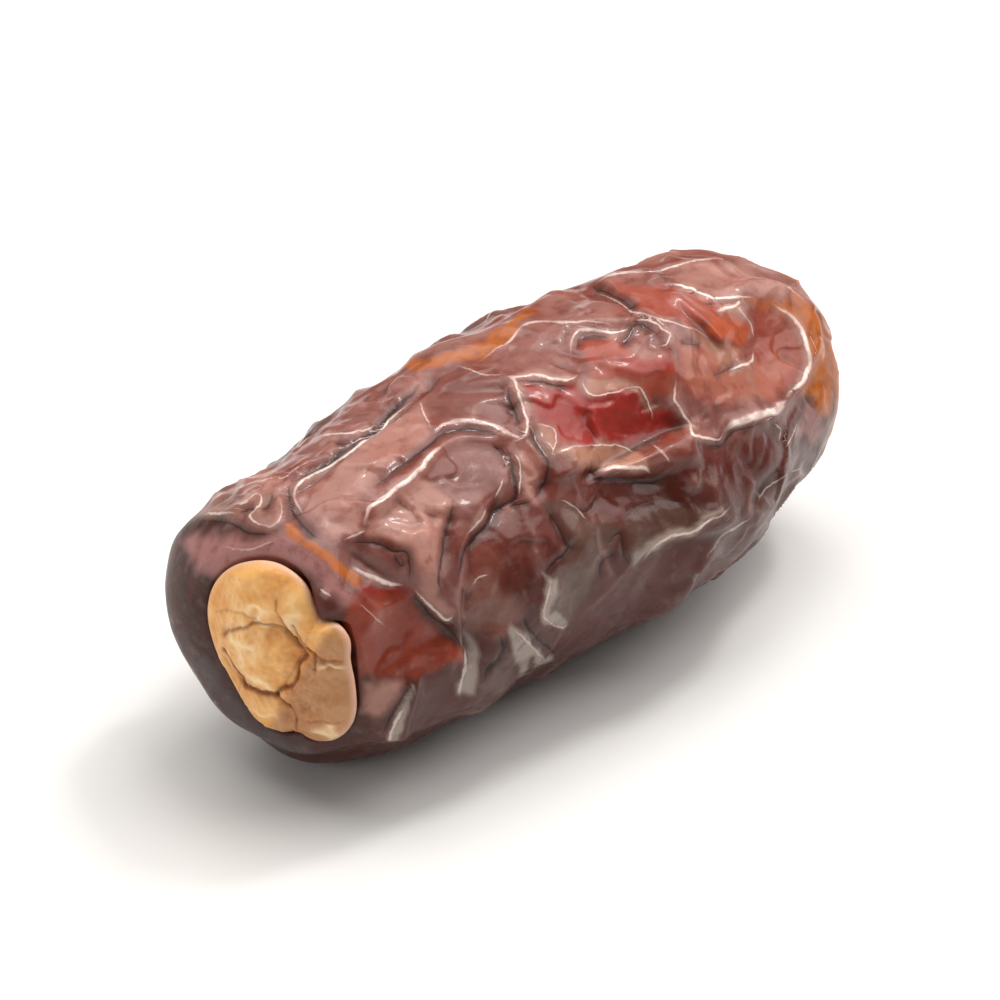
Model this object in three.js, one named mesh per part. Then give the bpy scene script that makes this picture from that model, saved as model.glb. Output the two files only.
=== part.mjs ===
// A piarom date lying on its side: the wrinkled fruit, and the dry lobed calyx in the seat at its stem end.
// Millimetres, +Z up. X runs from the stem end to the tip, and the origin is under the middle of the fruit,
// where it rests. Angles round the fruit are in degrees: 0 on top, 90 on the side of -Y, 180 underneath.
import * as THREE from "three";

// Driving dimensions of the fruit
const fruitLength = 46;
const fruitRadius = 10;
const stemRoundness = 5;
const tipRoundness = 2.55;
const stemTaper = 0.09;
const taperStart = 3;
const droop = 0.7;
const tipDroopShare = 0.35;
const restHeight = 9.95;
const oval = { share: 0.022, turn: 0.9, twist: 0.05 };
const threeSided = { share: 0.018, turn: 2.1, twist: -0.11 };
const stemCore = 8.5;
const tipCore = 9.5;
const restingFrom = 0.72;
const restingTo = 0.93;
const restingCalm = 0.9;

// Driving dimensions of the calyx, which is off the fruit's middle line and turned a little to the front
const calyxEdgeThickness = 0.7;
const calyxRoundedShare = 0.9;
const calyxFromStem = 1.5;
const calyxToFront = 3.25;
const calyxUp = 0.85;
const calyxTurn = 12;
const calyxGap = 0.3;
const faceFlatness = 5;

// Driving dimensions of the stem end, which is dished like a funnel round the seat of the calyx
const seatMargin = 0.5;
const seatWallWidth = 0.9;
const dishSlope = 0.4;
const dishBlend = 1.6;
const calyxProud = 0.3;
const collarEnd = -20.4;
const wrinklesStart = -17.8;
const smoothTip = 3.5;

// Driving dimensions of the wrinkles
const drawSeed = 3;
const plateCount = 130;
const plateWanderAlong = 1.2;
const plateWanderRound = 1.08;
const plateStretch = 0.8;
const plateStep = 0.42;
const plateTilt = 0.45;
const plateBlend = 1;
const plateDish = 0.2;
const netHeight = 0.9;
const netStrongest = 0.75;
const netDeepestDent = 0.6;
const netDriftWide = 0.5;
const netDriftSmall = 0.25;
const netCalmedInFront = 0.55;
const netUnderFolds = 0.25;
const wideSwellHeight = 0.22;
const smallSwellHeight = 0.1;
const crestRound = 0.4;
const finestFold = 0.8;
const plateFold = 0.5;
const plateSpread = 2.2;
const foldReach = 1.6;
const leastWrinkled = 0.1;
const taperedEnd = 0.16;
const leastEnd = 0.12;

// Mesh density, finer at the stem end
const stemRows = 15;
const stemWalk = 11.5;
const fruitRows = 58;
const fruitColumns = 96;
const calyxRows = 9;
const calyxColumns = 48;
const curveSteps = 4;

const halfLength = fruitLength / 2;
const goldenTurn = Math.PI * (3 - Math.sqrt(5));
const radians = Math.PI / 180;

// The folds that show from the front, each walked from its first point: [mm along X from the middle,
// degrees round]. height is in mm, negative for a crease, and widths are those to the left and to the right
// of the walk, in mm: a wide side is a plate, and a narrow one is its steep edge.
const folds = [
  { name: "collar lip", height: 0.45, widths: [0.5, 0.5],
    path: [[-19.2, -100], [-19.5, -70], [-19.8, -40], [-20, -10], [-19.9, 20], [-19.6, 45], [-19.2, 62]] },
  { name: "long crease", height: -0.6, widths: [0.35, 0.3],
    path: [[-18.5, -4], [-17.5, -1], [-15, -1], [-11.5, -4], [-7, -10], [-5, -14], [-3, -18]] },
  { name: "ridge beside it", height: 0.3, widths: [0.3, 1.2],
    path: [[-18.5, 6], [-17, 4], [-14.5, 4], [-12, 2], [-9, -1], [-7, -5]] },
  { name: "long ridge", height: 0.5, widths: [0.3, 1.3],
    path: [[-4, 31], [-5, 26], [-6.5, 21], [-8, 18], [-10.5, 20], [-13, 25], [-15.5, 27], [-16.5, 32]] },
  { name: "riser", height: 0.5, widths: [1.1, 0.3],
    path: [[-2, 8], [-2.4, 14], [-2.5, 21], [-4, 31], [-4, 46], [-4, 56]] },
  { name: "shelf edge", height: 0.5, widths: [0.9, 0.3],
    path: [[-5, -12], [-3.5, 1], [-2, 8], [-0.5, 15], [1, 19], [2, 18]] },
  { name: "upper plate", height: 0.35, widths: [1, 0.4],
    path: [[-2, 8], [1.5, -3], [4, -5], [6, 1]] },
  { name: "plate border", height: 0.5, widths: [0.8, 0.3],
    path: [[2, 15], [4, 2], [5.5, 2], [7, 10], [8.5, 7], [9, 15], [8.5, 24], [7.5, 34], [6.5, 46], [6.5, 57],
      [8.5, 63]] },
  { name: "tip loop", height: 0.75, widths: [0.4, 1],
    path: [[12.5, 1], [14.5, 10], [18, 14], [19.3, 26], [19.5, 42], [18, 56], [15.5, 62], [13, 64],
      [10.5, 63], [8.5, 63]] },
  { name: "crown crease", height: -0.45, widths: [0.3, 0.3],
    path: [[9, -22], [8.5, -10], [8.5, 1], [8.5, 9]] },
  { name: "crown ridge", height: 0.4, widths: [0.5, 0.9],
    path: [[9, -19], [11, -17], [12, -10], [12.5, 1]] },
  { name: "ledge", height: 0.8, widths: [0.7, 0.35],
    path: [[-3.5, 44], [-2, 46], [0, 51], [2.5, 57], [5, 61], [7, 64]] },
  { name: "crease below the ledge", height: -0.6, widths: [0.5, 0.6],
    path: [[-3, 54], [0, 61], [2.5, 66], [5, 69]] },
  { name: "flank bar", height: 0.6, widths: [0.5, 0.9],
    path: [[-5, 56], [-4.5, 66], [-4, 73], [-5.5, 78], [-6.7, 86], [-7, 96], [-5.5, 106]] },
  { name: "flank ridge", height: 0.55, widths: [1, 0.4],
    path: [[-2, 92], [-0.5, 87], [1.5, 83], [4, 86], [7, 87], [9, 84]] },
  { name: "collar facet", height: -0.7, widths: [0.35, 0.8],
    path: [[-19, 30], [-18, 36], [-17, 48], [-16, 57], [-15, 69], [-14, 82], [-13.3, 90]] },
  { name: "facet lip", height: 0.55, widths: [0.8, 0.35],
    path: [[-16.5, 32], [-15.3, 46], [-14.7, 60], [-13.4, 74], [-12.8, 84]] },
  { name: "flank crease", height: -0.7, widths: [0.5, 0.4],
    path: [[-6, 42], [-8, 46], [-10, 50], [-11.5, 60], [-12.6, 74], [-12.5, 90], [-12.5, 104]] },
  { name: "flank swell", height: 0.4, widths: [0.6, 0.6],
    path: [[-9.5, 36], [-10.3, 48], [-12, 61], [-13, 72]] },
  { name: "shoulder streak", height: 0.7, widths: [0.4, 0.8],
    path: [[-16.3, 88], [-16.8, 100], [-17, 113], [-16.5, 128]] },
  { name: "first finger", height: 0.55, widths: [0.5, 0.6],
    path: [[-10, 84], [-10.6, 96], [-11.8, 108], [-12, 122]] },
  { name: "second finger", height: 0.55, widths: [0.6, 0.5],
    path: [[-10, 86], [-9.2, 98], [-7.5, 108], [-5, 124]] },
  { name: "third finger", height: 0.45, widths: [0.5, 0.5],
    path: [[-10, 88], [-10, 106], [-9.2, 126]] },
  { name: "fold inside the loop", height: 0.5, widths: [0.5, 0.8],
    path: [[9, 30], [10.5, 42], [12.5, 44], [14, 40]] },
  { name: "ridge inside the loop", height: 0.55, widths: [0.8, 0.4],
    path: [[10.5, 3], [11.5, 17], [12, 27], [12.5, 36]] },
  { name: "tip flank", height: 0.5, widths: [0.6, 0.5],
    path: [[9, 76], [12, 82], [13, 90], [10.5, 96], [8.5, 92]] },
  { name: "low wing", height: 0.7, widths: [0.5, 0.7],
    path: [[6, 90], [4.7, 100], [4, 112], [1.5, 120]] },
  { name: "top fringe", height: 0.9, widths: [0.5, 0.8],
    path: [[-5, -33], [-2, -26], [0.5, -20], [2.5, -17], [4.5, -21], [7, -25], [9, -20]] },
];

// The wide smooth hollows, and two swells of negative depth: mm along X from the middle, degrees round,
// reach along and across in mm, and depth in mm
const hollows = [
  { name: "facet at the collar", x: -17.2, angle: 76, reach: [2.6, 3.4], depth: 0.9 },
  { name: "bowl in the tip loop", x: 14, angle: 36, reach: [3.6, 4.2], depth: 0.55 },
  { name: "hollow above the ledge", x: 3.2, angle: 49, reach: [3.4, 2.7], depth: 0.3 },
  { name: "crown", x: 19.5, angle: -12, reach: [4, 5], depth: -0.9 },
  { name: "slim side of the tip", x: 15, angle: 135, reach: [7, 5], depth: 0.9 },
  { name: "full end of the tip", x: 21, angle: 50, reach: [3.5, 5], depth: -0.9 },
  { name: "slim back of the stem end", x: -11, angle: -42, reach: [9, 7], depth: 1 },
  { name: "full left side of the collar", x: -20, angle: -75, reach: [5, 6], depth: -0.6 },
  { name: "slim underside of the collar", x: -20.5, angle: 165, reach: [6, 6], depth: 1.6 },
];

// Hollows that sink from one angle to another and end there in a step: mm along X, reach along X in mm,
// degrees round, and depth in mm
const scoops = [{ name: "red hollow", x: 2.6, reach: 4.2, from: 22, to: 51, step: 7, depth: 1.5 }];

// The calyx's edge: degrees round it from the top to the front, and radius in mm
const rim = [
  [0, 5.8], [16, 5.3], [29, 4.4], [39, 4.1], [47, 4.8], [58, 5.1], [77, 4.6], [96, 4.8], [125, 5.6],
  [150, 5.8], [160, 5.6], [167, 5.1], [178, 5.4], [193, 5.7], [212, 5.3], [232, 4.9], [255, 5.1],
  [282, 5.5], [305, 5.7], [332, 5.8],
];

// Domes of the calyx's face: mm to the front and up of its middle, spread in both directions and height
// above the edge
const lobes = [
  { name: "top lobe", place: [-1.3, 4], spread: [6, 4.2], height: 0.85 },
  { name: "middle lobe", place: [-1.2, 0.4], spread: [4.4, 4.4], height: 1.1 },
  { name: "large right lobe", place: [3.4, -1.8], spread: [4.6, 4.2], height: 0.95 },
  { name: "small right lobe", place: [4, 2.4], spread: [2.6, 3.2], height: 0.85 },
  { name: "bottom lobe", place: [-0.5, -4.4], spread: [3.6, 4], height: 0.8 },
  { name: "left rim", place: [-3.8, -2.4], spread: [2.2, 3.5], height: 0.5 },
];

function smooth(low, high, value) {
  const t = Math.min(Math.max((value - low) / (high - low), 0), 1);
  return t * t * (3 - 2 * t);
}

// The larger value, rounded off where the two are closer than blend
function smoothMax(a, b, blend) {
  const h = Math.max(1 - Math.abs(a - b) / blend, 0);
  return Math.max(a, b) + (blend / 4) * h * h;
}

// A repeatable draw from 0 to 1 for item i of a channel
function draw(i, channel) {
  const v = Math.sin(i * 12.9898 + channel * 78.233 + drawSeed) * 43758.5453;
  return v - Math.floor(v);
}

// A soft random relief from about -1.5 to 1.5: six plane waves with drawn directions and lengths near size
const waveCount = 6;
function makeSwell(size, channel) {
  const waves = [];
  for (let k = 0; k < waveCount; k++) {
    const z = 2 * draw(k, channel) - 1;
    const turn = 2 * Math.PI * draw(k, channel + 0.37);
    const ring = Math.sqrt(1 - z * z);
    const pitch = size * (0.7 + 0.7 * draw(k, channel + 0.71));
    const way = new THREE.Vector3(ring * Math.cos(turn), ring * Math.sin(turn), z);
    way.multiplyScalar((2 * Math.PI) / pitch);
    waves.push({ way, phase: 2 * Math.PI * draw(k, channel + 0.53) });
  }
  const scale = 1 / Math.sqrt(waveCount / 2);
  return (p) => waves.reduce((sum, w) => sum + Math.sin(p.dot(w.way) + w.phase), 0) * scale;
}

// Three swells at once, as a vector that pushes a point about
function makeDrift(size, channel) {
  const along = [0, 10, 20].map((step) => makeSwell(size, channel + step));
  return (p) => new THREE.Vector3(along[0](p), along[1](p), along[2](p));
}

// The fruit's outline from the stem's pole to the tip's: a superellipse in polar form, blunt at the stem
// and round at the tip, a little slimmer towards the stem. Each entry holds x, the radius there and the
// length walked so far.
function makeMeridian() {
  const count = 400;
  const outline = [];
  let walked = 0;
  for (let i = 0; i < count; i++) {
    const psi = (Math.PI * i) / (count - 1);
    const power = stemRoundness + (tipRoundness - stemRoundness) * smooth(0.5, 2.6, psi);
    const across = Math.abs(Math.sin(psi) / fruitRadius) ** power;
    const reach = (Math.abs(Math.cos(psi) / halfLength) ** power + across) ** (-1 / power);
    const x = -reach * Math.cos(psi);
    const slim = Math.max((taperStart - x) / (halfLength + taperStart), 0);
    const radius = reach * Math.sin(psi) * (1 - stemTaper * slim ** 2);
    if (i > 0) walked += Math.hypot(x - outline[i - 1].x, radius - outline[i - 1].radius);
    outline.push({ x, radius, walked });
  }
  return outline;
}

const meridian = makeMeridian();

// The outline's value of one key where another key has a given value
function onMeridian(key, value, wanted) {
  const last = meridian.length - 1;
  if (value <= meridian[0][key]) return meridian[0][wanted];
  if (value >= meridian[last][key]) return meridian[last][wanted];
  const i = meridian.findIndex((entry) => entry[key] >= value);
  const [a, b] = [meridian[i - 1], meridian[i]];
  return a[wanted] + ((b[wanted] - a[wanted]) * (value - a[key])) / (b[key] - a[key]);
}

// The middle line of the fruit sinks towards both ends
function spineHeight(x) {
  const sunk = droop * (x / halfLength) ** 2;
  return x < 0 ? -sunk : -tipDroopShare * sunk;
}

// A point of the smooth fruit: a round section, a little oval and a little three-sided
function bodyPoint(x, radius, angle) {
  const uneven = oval.share * Math.cos(2 * angle + oval.turn + oval.twist * x);
  const corners = threeSided.share * Math.cos(3 * angle + threeSided.turn + threeSided.twist * x);
  const r = radius * (1 + uneven + corners);
  return new THREE.Vector3(x, -r * Math.sin(angle), r * Math.cos(angle) + spineHeight(x));
}

// The way out of the fruit at a point: away from the nearest point of the middle line, cut short at both ends
function outward(p) {
  const x = Math.min(Math.max(p.x, -halfLength + stemCore), halfLength - tipCore);
  return new THREE.Vector3(p.x - x, p.y, p.z - spineHeight(x)).normalize();
}

// Middles of the skin's plates, spread round the fruit by the golden angle and moved a little by drawn
// amounts
function makePlates() {
  const plates = [];
  for (let i = 0; i < plateCount; i++) {
    const x = -halfLength + (fruitLength * (i + 0.5 + plateWanderAlong * (draw(i, 5) - 0.5))) / plateCount;
    const angle = i * goldenTurn + plateWanderRound * (draw(i, 6) - 0.5);
    const middle = bodyPoint(x, onMeridian("x", x, "radius"), angle);
    const tilt = new THREE.Vector3(draw(i, 32) - 0.5, draw(i, 33) - 0.5, draw(i, 34) - 0.5);
    plates.push({ middle, tilt, lift: draw(i, 31) - 0.5 });
  }
  return plates;
}

// Distance from a point to the border of the plate it is on, and the height of the plates there, blended at
// borders
function onPlates(p, plates) {
  const stretched = (a, b) => Math.hypot((a.x - b.x) * plateStretch, a.y - b.y, a.z - b.z);
  const far = plates.map((plate) => stretched(p, plate.middle));
  const nearest = far.indexOf(Math.min(...far));
  let edge = Infinity;
  let height = 0;
  let weights = 0;
  plates.forEach((plate, i) => {
    const beyond = far[i] ** 2 - far[nearest] ** 2;
    if (i !== nearest) edge = Math.min(edge, beyond / (2 * stretched(plate.middle, plates[nearest].middle)));
    const weight = Math.exp(-beyond / (2 * plateBlend ** 2));
    height += weight * (plate.lift + plateTilt * p.clone().sub(plate.middle).dot(plate.tilt));
    weights += weight;
  });
  return { edge, height: height / weights };
}

// A fold's path as a smooth curve on the body
function makeFold(fold) {
  const flat = fold.path.map(([x, angle]) => new THREE.Vector3(x, angle, 0));
  const ends = [flat[0].clone().multiplyScalar(2).sub(flat[1])];
  ends.push(flat.at(-1).clone().multiplyScalar(2).sub(flat.at(-2)));
  const all = [ends[0], ...flat, ends[1]];
  const curve = [];
  for (let k = 1; k < all.length - 2; k++) {
    for (let step = 0; step < curveSteps; step++) {
      const t = step / curveSteps;
      const mix = ["x", "y"].map((key) => {
        const [a, b, c, d] = all.slice(k - 1, k + 3).map((v) => v[key]);
        const bend = (2 * a - 5 * b + 4 * c - d) * t * t + (3 * b - a - 3 * c + d) * t ** 3;
        return 0.5 * (2 * b + (c - a) * t + bend);
      });
      curve.push(mix);
    }
  }
  curve.push([flat.at(-1).x, flat.at(-1).y]);
  const line = curve.map(([x, degrees]) => bodyPoint(x, onMeridian("x", x, "radius"), degrees * radians));
  return { ...fold, line };
}

// A fold's height to one side of its crest: a plate that sinks slowly where it is wide, else a steep
// rounded edge
function foldSide(distance, width) {
  if (width >= plateFold) return Math.exp(-((distance / (plateSpread * width)) ** 2));
  return Math.exp(-(Math.hypot(distance, crestRound) - crestRound) / finestFold);
}

// How far a fold raises a point, and how much it covers the plates there. Both fade towards the fold's ends.
function underFold(p, out, fold) {
  let nearest = Infinity;
  let side = 0;
  let along = 0;
  const pieces = fold.line.length - 1;
  for (let k = 0; k < pieces; k++) {
    const piece = fold.line[k + 1].clone().sub(fold.line[k]);
    const from = p.clone().sub(fold.line[k]);
    const t = Math.min(Math.max(from.dot(piece) / piece.lengthSq(), 0), 1);
    const off = from.addScaledVector(piece, -t);
    if (off.length() < nearest) {
      nearest = off.length();
      side = piece.clone().cross(off).dot(out);
      along = (k + t) / pieces;
    }
  }
  const inside = smooth(0, taperedEnd, along) * smooth(0, taperedEnd, 1 - along);
  const ends = leastEnd + (1 - leastEnd) * inside;
  const crest = foldSide(nearest, fold.widths[side > 0 ? 0 : 1]);
  return { raise: fold.height * crest * ends, cover: Math.exp(-((nearest / foldReach) ** 2)) * ends };
}

const plates = makePlates();
const foldLines = folds.map(makeFold);
const wideDrift = makeDrift(9, 1);
const smallDrift = makeDrift(3.2, 2);
const netStrength = makeSwell(8, 40);
const netDent = makeSwell(7, 44);
const wideSwell = makeSwell(15, 50);
const smallSwell = makeSwell(7, 51);
const towardsFront = new THREE.Vector3(-0.3, -0.75, 0.6);
const tipPole = bodyPoint(halfLength, 0, 0);
const hollowMiddles = hollows.map((hollow) => {
  const middle = bodyPoint(hollow.x, onMeridian("x", hollow.x, "radius"), hollow.angle * radians);
  return { ...hollow, middle };
});

// Height of the wrinkled skin over the smooth body, in two parts: a raised net round plates that stand a
// little higher or lower, fainter in front and next to the folds, and the folds themselves with the wide
// swells. Ridges that meet share one level.
function skinHeight(p, out) {
  const moved = p.clone().addScaledVector(wideDrift(p), netDriftWide);
  moved.addScaledVector(smallDrift(p), netDriftSmall);
  const { edge, height } = onPlates(moved, plates);
  const raising = netStrongest * smooth(-0.9, 1, netStrength(p));
  const strength = raising - netDeepestDent * smooth(0.1, 1.2, netDent(p));
  const crest = Math.exp(-(Math.hypot(edge, crestRound) - crestRound) / finestFold);
  const between = 1 - Math.exp(-edge / foldReach);
  let cover = 0;
  let ridges = 0;
  let creases = 0;
  for (const fold of foldLines) {
    const under = underFold(p, out, fold);
    ridges += Math.max(under.raise, 0) ** 3;
    creases = Math.min(creases, under.raise);
    cover = Math.max(cover, under.cover);
  }
  const swells = wideSwellHeight * wideSwell(p) + smallSwellHeight * smallSwell(p);
  const inFront = smooth(-0.35, 0.5, out.dot(towardsFront));
  const calmed = (1 - netCalmedInFront * inFront) * (1 - (1 - netUnderFolds) * cover);
  const net = (netHeight * crest * strength - plateDish * between + plateStep * height) * calmed;
  return { net, folded: Math.cbrt(ridges) + creases + swells };
}

// How much the hollows and the scoops lower a point
function underHollows(p) {
  const hollowed = hollowMiddles.reduce((sum, { middle, reach, depth }) => {
    const along = ((p.x - middle.x) / reach[0]) ** 2;
    const across = ((p.y - middle.y) ** 2 + (p.z - middle.z) ** 2) / reach[1] ** 2;
    return sum + depth * Math.exp(-along - across);
  }, 0);
  const degrees = Math.atan2(-p.y, p.z - spineHeight(p.x)) / radians;
  return scoops.reduce((sum, scoop) => {
    const sinking = smooth(scoop.from, scoop.to, degrees);
    const sunk = sinking * (1 - smooth(scoop.to, scoop.to + scoop.step, degrees));
    return sum + scoop.depth * sunk * Math.exp(-(((p.x - scoop.x) / scoop.reach) ** 4));
  }, hollowed);
}

// Dishes the stem end: round the calyx it falls away like a funnel, and under the calyx it is sunk to a
// flat seat, which is turned to the front with the calyx
function dish(p) {
  const across = -p.y - calyxToFront;
  const up = p.z - calyxUp;
  const beyond = Math.hypot(across, up) - calyxEdge(Math.atan2(across, up)) - seatMargin;
  const edge = -halfLength + calyxFromStem + Math.tan(calyxTurn * radians) * across;
  const funnel = edge - calyxProud - dishSlope * Math.max(beyond, 0);
  const dished = smoothMax(p.x, funnel, dishBlend);
  const floor = edge + calyxEdgeThickness / 2 + calyxGap;
  const inSeat = 1 - smooth(0, seatWallWidth, beyond);
  p.x = dished + inSeat * Math.max(floor - dished, 0);
}

// A point of the finished fruit: the net fades on the smooth collar, at the tip's pole and where the fruit
// rests, the stem end is dished, and the underside is flat where it meets the surface
function fruitPoint(x, radius, angle) {
  const p = bodyPoint(x, radius, angle);
  const out = outward(p);
  const wrinkled = smooth(collarEnd, wrinklesStart, p.x) * smooth(0, smoothTip, p.distanceTo(tipPole));
  const calm = leastWrinkled + (1 - leastWrinkled) * wrinkled;
  const resting = 1 - restingCalm * smooth(restingFrom, restingTo, -out.z);
  const { net, folded } = skinHeight(p, out);
  const raised = (net * calm + folded - underHollows(p)) * resting;
  const moved = p.clone().addScaledVector(out, raised);
  if (p.x < -halfLength / 2) dish(moved);
  moved.z = Math.max(moved.z + restHeight, 0);
  return moved;
}

// A closed mesh from rings of points and a pole at each end. Each quad is split along its shorter diagonal,
// which follows the folds.
function closedMesh(firstPole, rings, lastPole) {
  const columns = rings[0].length;
  const points = [firstPole, ...rings.flat(), lastPole];
  const faces = [];
  const at = (ring, column) => 1 + ring * columns + (column % columns);
  for (let c = 0; c < columns; c++) {
    faces.push(0, at(0, c + 1), at(0, c));
    faces.push(points.length - 1, at(rings.length - 1, c), at(rings.length - 1, c + 1));
    for (let r = 0; r < rings.length - 1; r++) {
      const [a, b, d, e] = [at(r, c), at(r, c + 1), at(r + 1, c + 1), at(r + 1, c)];
      const alongFirst = points[a].distanceTo(points[d]) < points[b].distanceTo(points[e]);
      if (alongFirst) faces.push(a, b, d, a, d, e);
      else faces.push(a, b, e, b, d, e);
    }
  }
  const geometry = new THREE.BufferGeometry().setFromPoints(points);
  geometry.setIndex(faces);
  geometry.computeVertexNormals();
  return geometry;
}

function makeFruit() {
  const rings = [];
  const whole = meridian.at(-1).walked;
  for (let row = 1; row < fruitRows; row++) {
    const further = (whole - stemWalk) * ((row - stemRows) / (fruitRows - stemRows));
    const walked = row < stemRows ? (stemWalk * row) / stemRows : stemWalk + further;
    const x = onMeridian("walked", walked, "x");
    const radius = onMeridian("walked", walked, "radius");
    const ring = [];
    for (let c = 0; c < fruitColumns; c++) ring.push(fruitPoint(x, radius, (2 * Math.PI * c) / fruitColumns));
    rings.push(ring);
  }
  const geometry = closedMesh(fruitPoint(-halfLength, 0, 0), rings, fruitPoint(halfLength, 0, 0));
  const skin = new THREE.MeshStandardMaterial({ color: 0x5a2418, roughness: 0.4, metalness: 0 });
  const fruit = new THREE.Mesh(geometry, skin);
  fruit.name = "fruit";
  return fruit;
}

// Edge radius of the calyx at an angle: a cubic through the rim's radii, with the slope at each from its
// neighbours
function calyxEdge(angle) {
  const degrees = (((angle / radians) % 360) + 360) % 360;
  const last = rim.length - 1;
  const around = [[rim[last][0] - 360, rim[last][1]], ...rim, [rim[0][0] + 360, rim[0][1]]];
  around.push([rim[1][0] + 360, rim[1][1]]);
  const k = around.findIndex(([turn]) => turn > degrees) - 1;
  const slope = (i) => {
    const [before, here, after] = around.slice(i - 1, i + 2);
    const first = (here[1] - before[1]) / (here[0] - before[0]);
    const second = (after[1] - here[1]) / (after[0] - here[0]);
    return (first + second) / 2;
  };
  const [start, end] = [around[k], around[k + 1]];
  const step = end[0] - start[0];
  const t = (degrees - start[0]) / step;
  const rise = end[1] - start[1];
  const [leaving, arriving] = [step * slope(k), step * slope(k + 1)];
  const bend = (3 * rise - 2 * leaving - arriving) * t ** 2 + (leaving + arriving - 2 * rise) * t ** 3;
  return start[1] + leaving * t + bend;
}

// Height of the calyx's face above its edge: the highest of its domes, so that a crease runs between them,
// brought down to the edge
function calyxHeight(across, up) {
  const domes = lobes.map(({ place, spread, height }) => {
    const dx = (across - place[0]) / spread[0];
    const dy = (up - place[1]) / spread[1];
    return height * (1 - dx * dx - dy * dy);
  });
  const share = Math.min(Math.hypot(across, up) / calyxEdge(Math.atan2(across, up)), 1);
  return Math.max(...domes, 0) * (1 - share ** faceFlatness);
}

// The calyx in its own frame: +X to the fruit's front, +Y up and +Z out of the stem end. Its rings run from
// the middle of its face round its edge to the middle of its back.
function makeCalyx() {
  const angles = Array.from({ length: calyxColumns }, (_, c) => (2 * Math.PI * c) / calyxColumns);
  const place = (share, angle, height) => {
    const across = share * calyxEdge(angle) * Math.sin(angle);
    const up = share * calyxEdge(angle) * Math.cos(angle);
    return new THREE.Vector3(across, up, height(across, up));
  };
  const back = () => -calyxEdgeThickness / 2;
  const face = (across, up) => calyxEdgeThickness / 2 + calyxHeight(across, up);
  const rings = [];
  for (let row = 1; row <= calyxRows; row++) {
    rings.push(angles.map((angle) => place((calyxRoundedShare * row) / calyxRows, angle, face)));
  }
  rings.push(angles.map((angle) => place(1, angle, () => 0)));
  rings.push(angles.map((angle) => place(calyxRoundedShare, angle, back)));
  const geometry = closedMesh(place(0, 0, face), rings, place(0, 0, back));
  const husk = new THREE.MeshStandardMaterial({ color: 0xc9924f, roughness: 0.7, metalness: 0 });
  const calyx = new THREE.Mesh(geometry, husk);
  calyx.name = "calyx";
  const turn = calyxTurn * radians;
  const front = new THREE.Vector3(Math.sin(turn), -Math.cos(turn), 0);
  const up = new THREE.Vector3(0, 0, 1);
  const placed = new THREE.Matrix4().makeBasis(front, up, front.clone().cross(up));
  calyx.quaternion.setFromRotationMatrix(placed);
  calyx.position.set(-halfLength + calyxFromStem, -calyxToFront, restHeight + calyxUp);
  return calyx;
}

// Moves both pieces so that the middle of the whole box is over the origin
function centre(group) {
  const middle = new THREE.Box3().setFromObject(group, true).getCenter(new THREE.Vector3());
  group.children.forEach((piece) => piece.position.add(new THREE.Vector3(-middle.x, -middle.y, 0)));
}

const date = new THREE.Group();
date.add(makeFruit(), makeCalyx());
centre(date);

export default date;
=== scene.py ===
import math

import bpy
import numpy as np
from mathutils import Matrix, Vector


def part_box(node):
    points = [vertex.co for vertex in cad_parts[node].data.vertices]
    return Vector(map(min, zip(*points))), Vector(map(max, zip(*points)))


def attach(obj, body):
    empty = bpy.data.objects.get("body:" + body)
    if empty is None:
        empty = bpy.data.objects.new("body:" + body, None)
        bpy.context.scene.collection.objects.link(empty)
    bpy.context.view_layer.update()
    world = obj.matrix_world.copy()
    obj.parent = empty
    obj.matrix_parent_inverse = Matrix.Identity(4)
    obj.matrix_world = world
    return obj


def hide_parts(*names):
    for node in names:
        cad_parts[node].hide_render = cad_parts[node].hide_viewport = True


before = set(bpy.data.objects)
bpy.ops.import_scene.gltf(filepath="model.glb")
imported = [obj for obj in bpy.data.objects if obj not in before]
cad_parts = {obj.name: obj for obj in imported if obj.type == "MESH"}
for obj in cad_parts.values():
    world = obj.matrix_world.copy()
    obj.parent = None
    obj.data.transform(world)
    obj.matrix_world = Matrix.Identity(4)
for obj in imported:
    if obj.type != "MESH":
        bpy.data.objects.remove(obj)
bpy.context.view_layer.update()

mm = 0.001  # lengths below are in millimetres, and x runs from the stem end (-) to the tip (+)
seed = 3.0


# Small helpers

def draw(i, channel):  # a repeatable draw from 0 to 1: the fraction of a large sine
    v = np.sin(i * 12.9898 + channel * 78.233 + seed) * 43758.5453
    return v - np.floor(v)


def smooth(low, high, value):  # 0 below low, 1 above high, 3t^2 - 2t^3 between
    t = np.clip((value - low) / (high - low), 0, 1)
    return t * t * (3 - 2 * t)


def smoothMax(a, b, blend):  # the larger value, rounded off where the two are closer than blend
    h = np.clip(1 - np.abs(a - b) / blend, 0, 1)
    return np.maximum(a, b) + blend / 4 * h * h


def taper(value, along, share):  # value, sinking to 0 over that share of the length at both ends
    return value * smooth(0, share, along) * smooth(0, share, 1 - along)


def unit(v):  # the vector over its length
    return v / np.maximum(np.linalg.norm(v, axis=-1, keepdims=True), 1e-12)


def toLinear(hexColour):  # sRGB hex to linear red, green, blue, alpha
    parts = [int(hexColour[k:k + 2], 16) / 255 for k in (1, 3, 5)]
    return [c / 12.92 if c <= 0.04045 else ((c + 0.055) / 1.055) ** 2.4 for c in parts] + [1.0]


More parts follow.
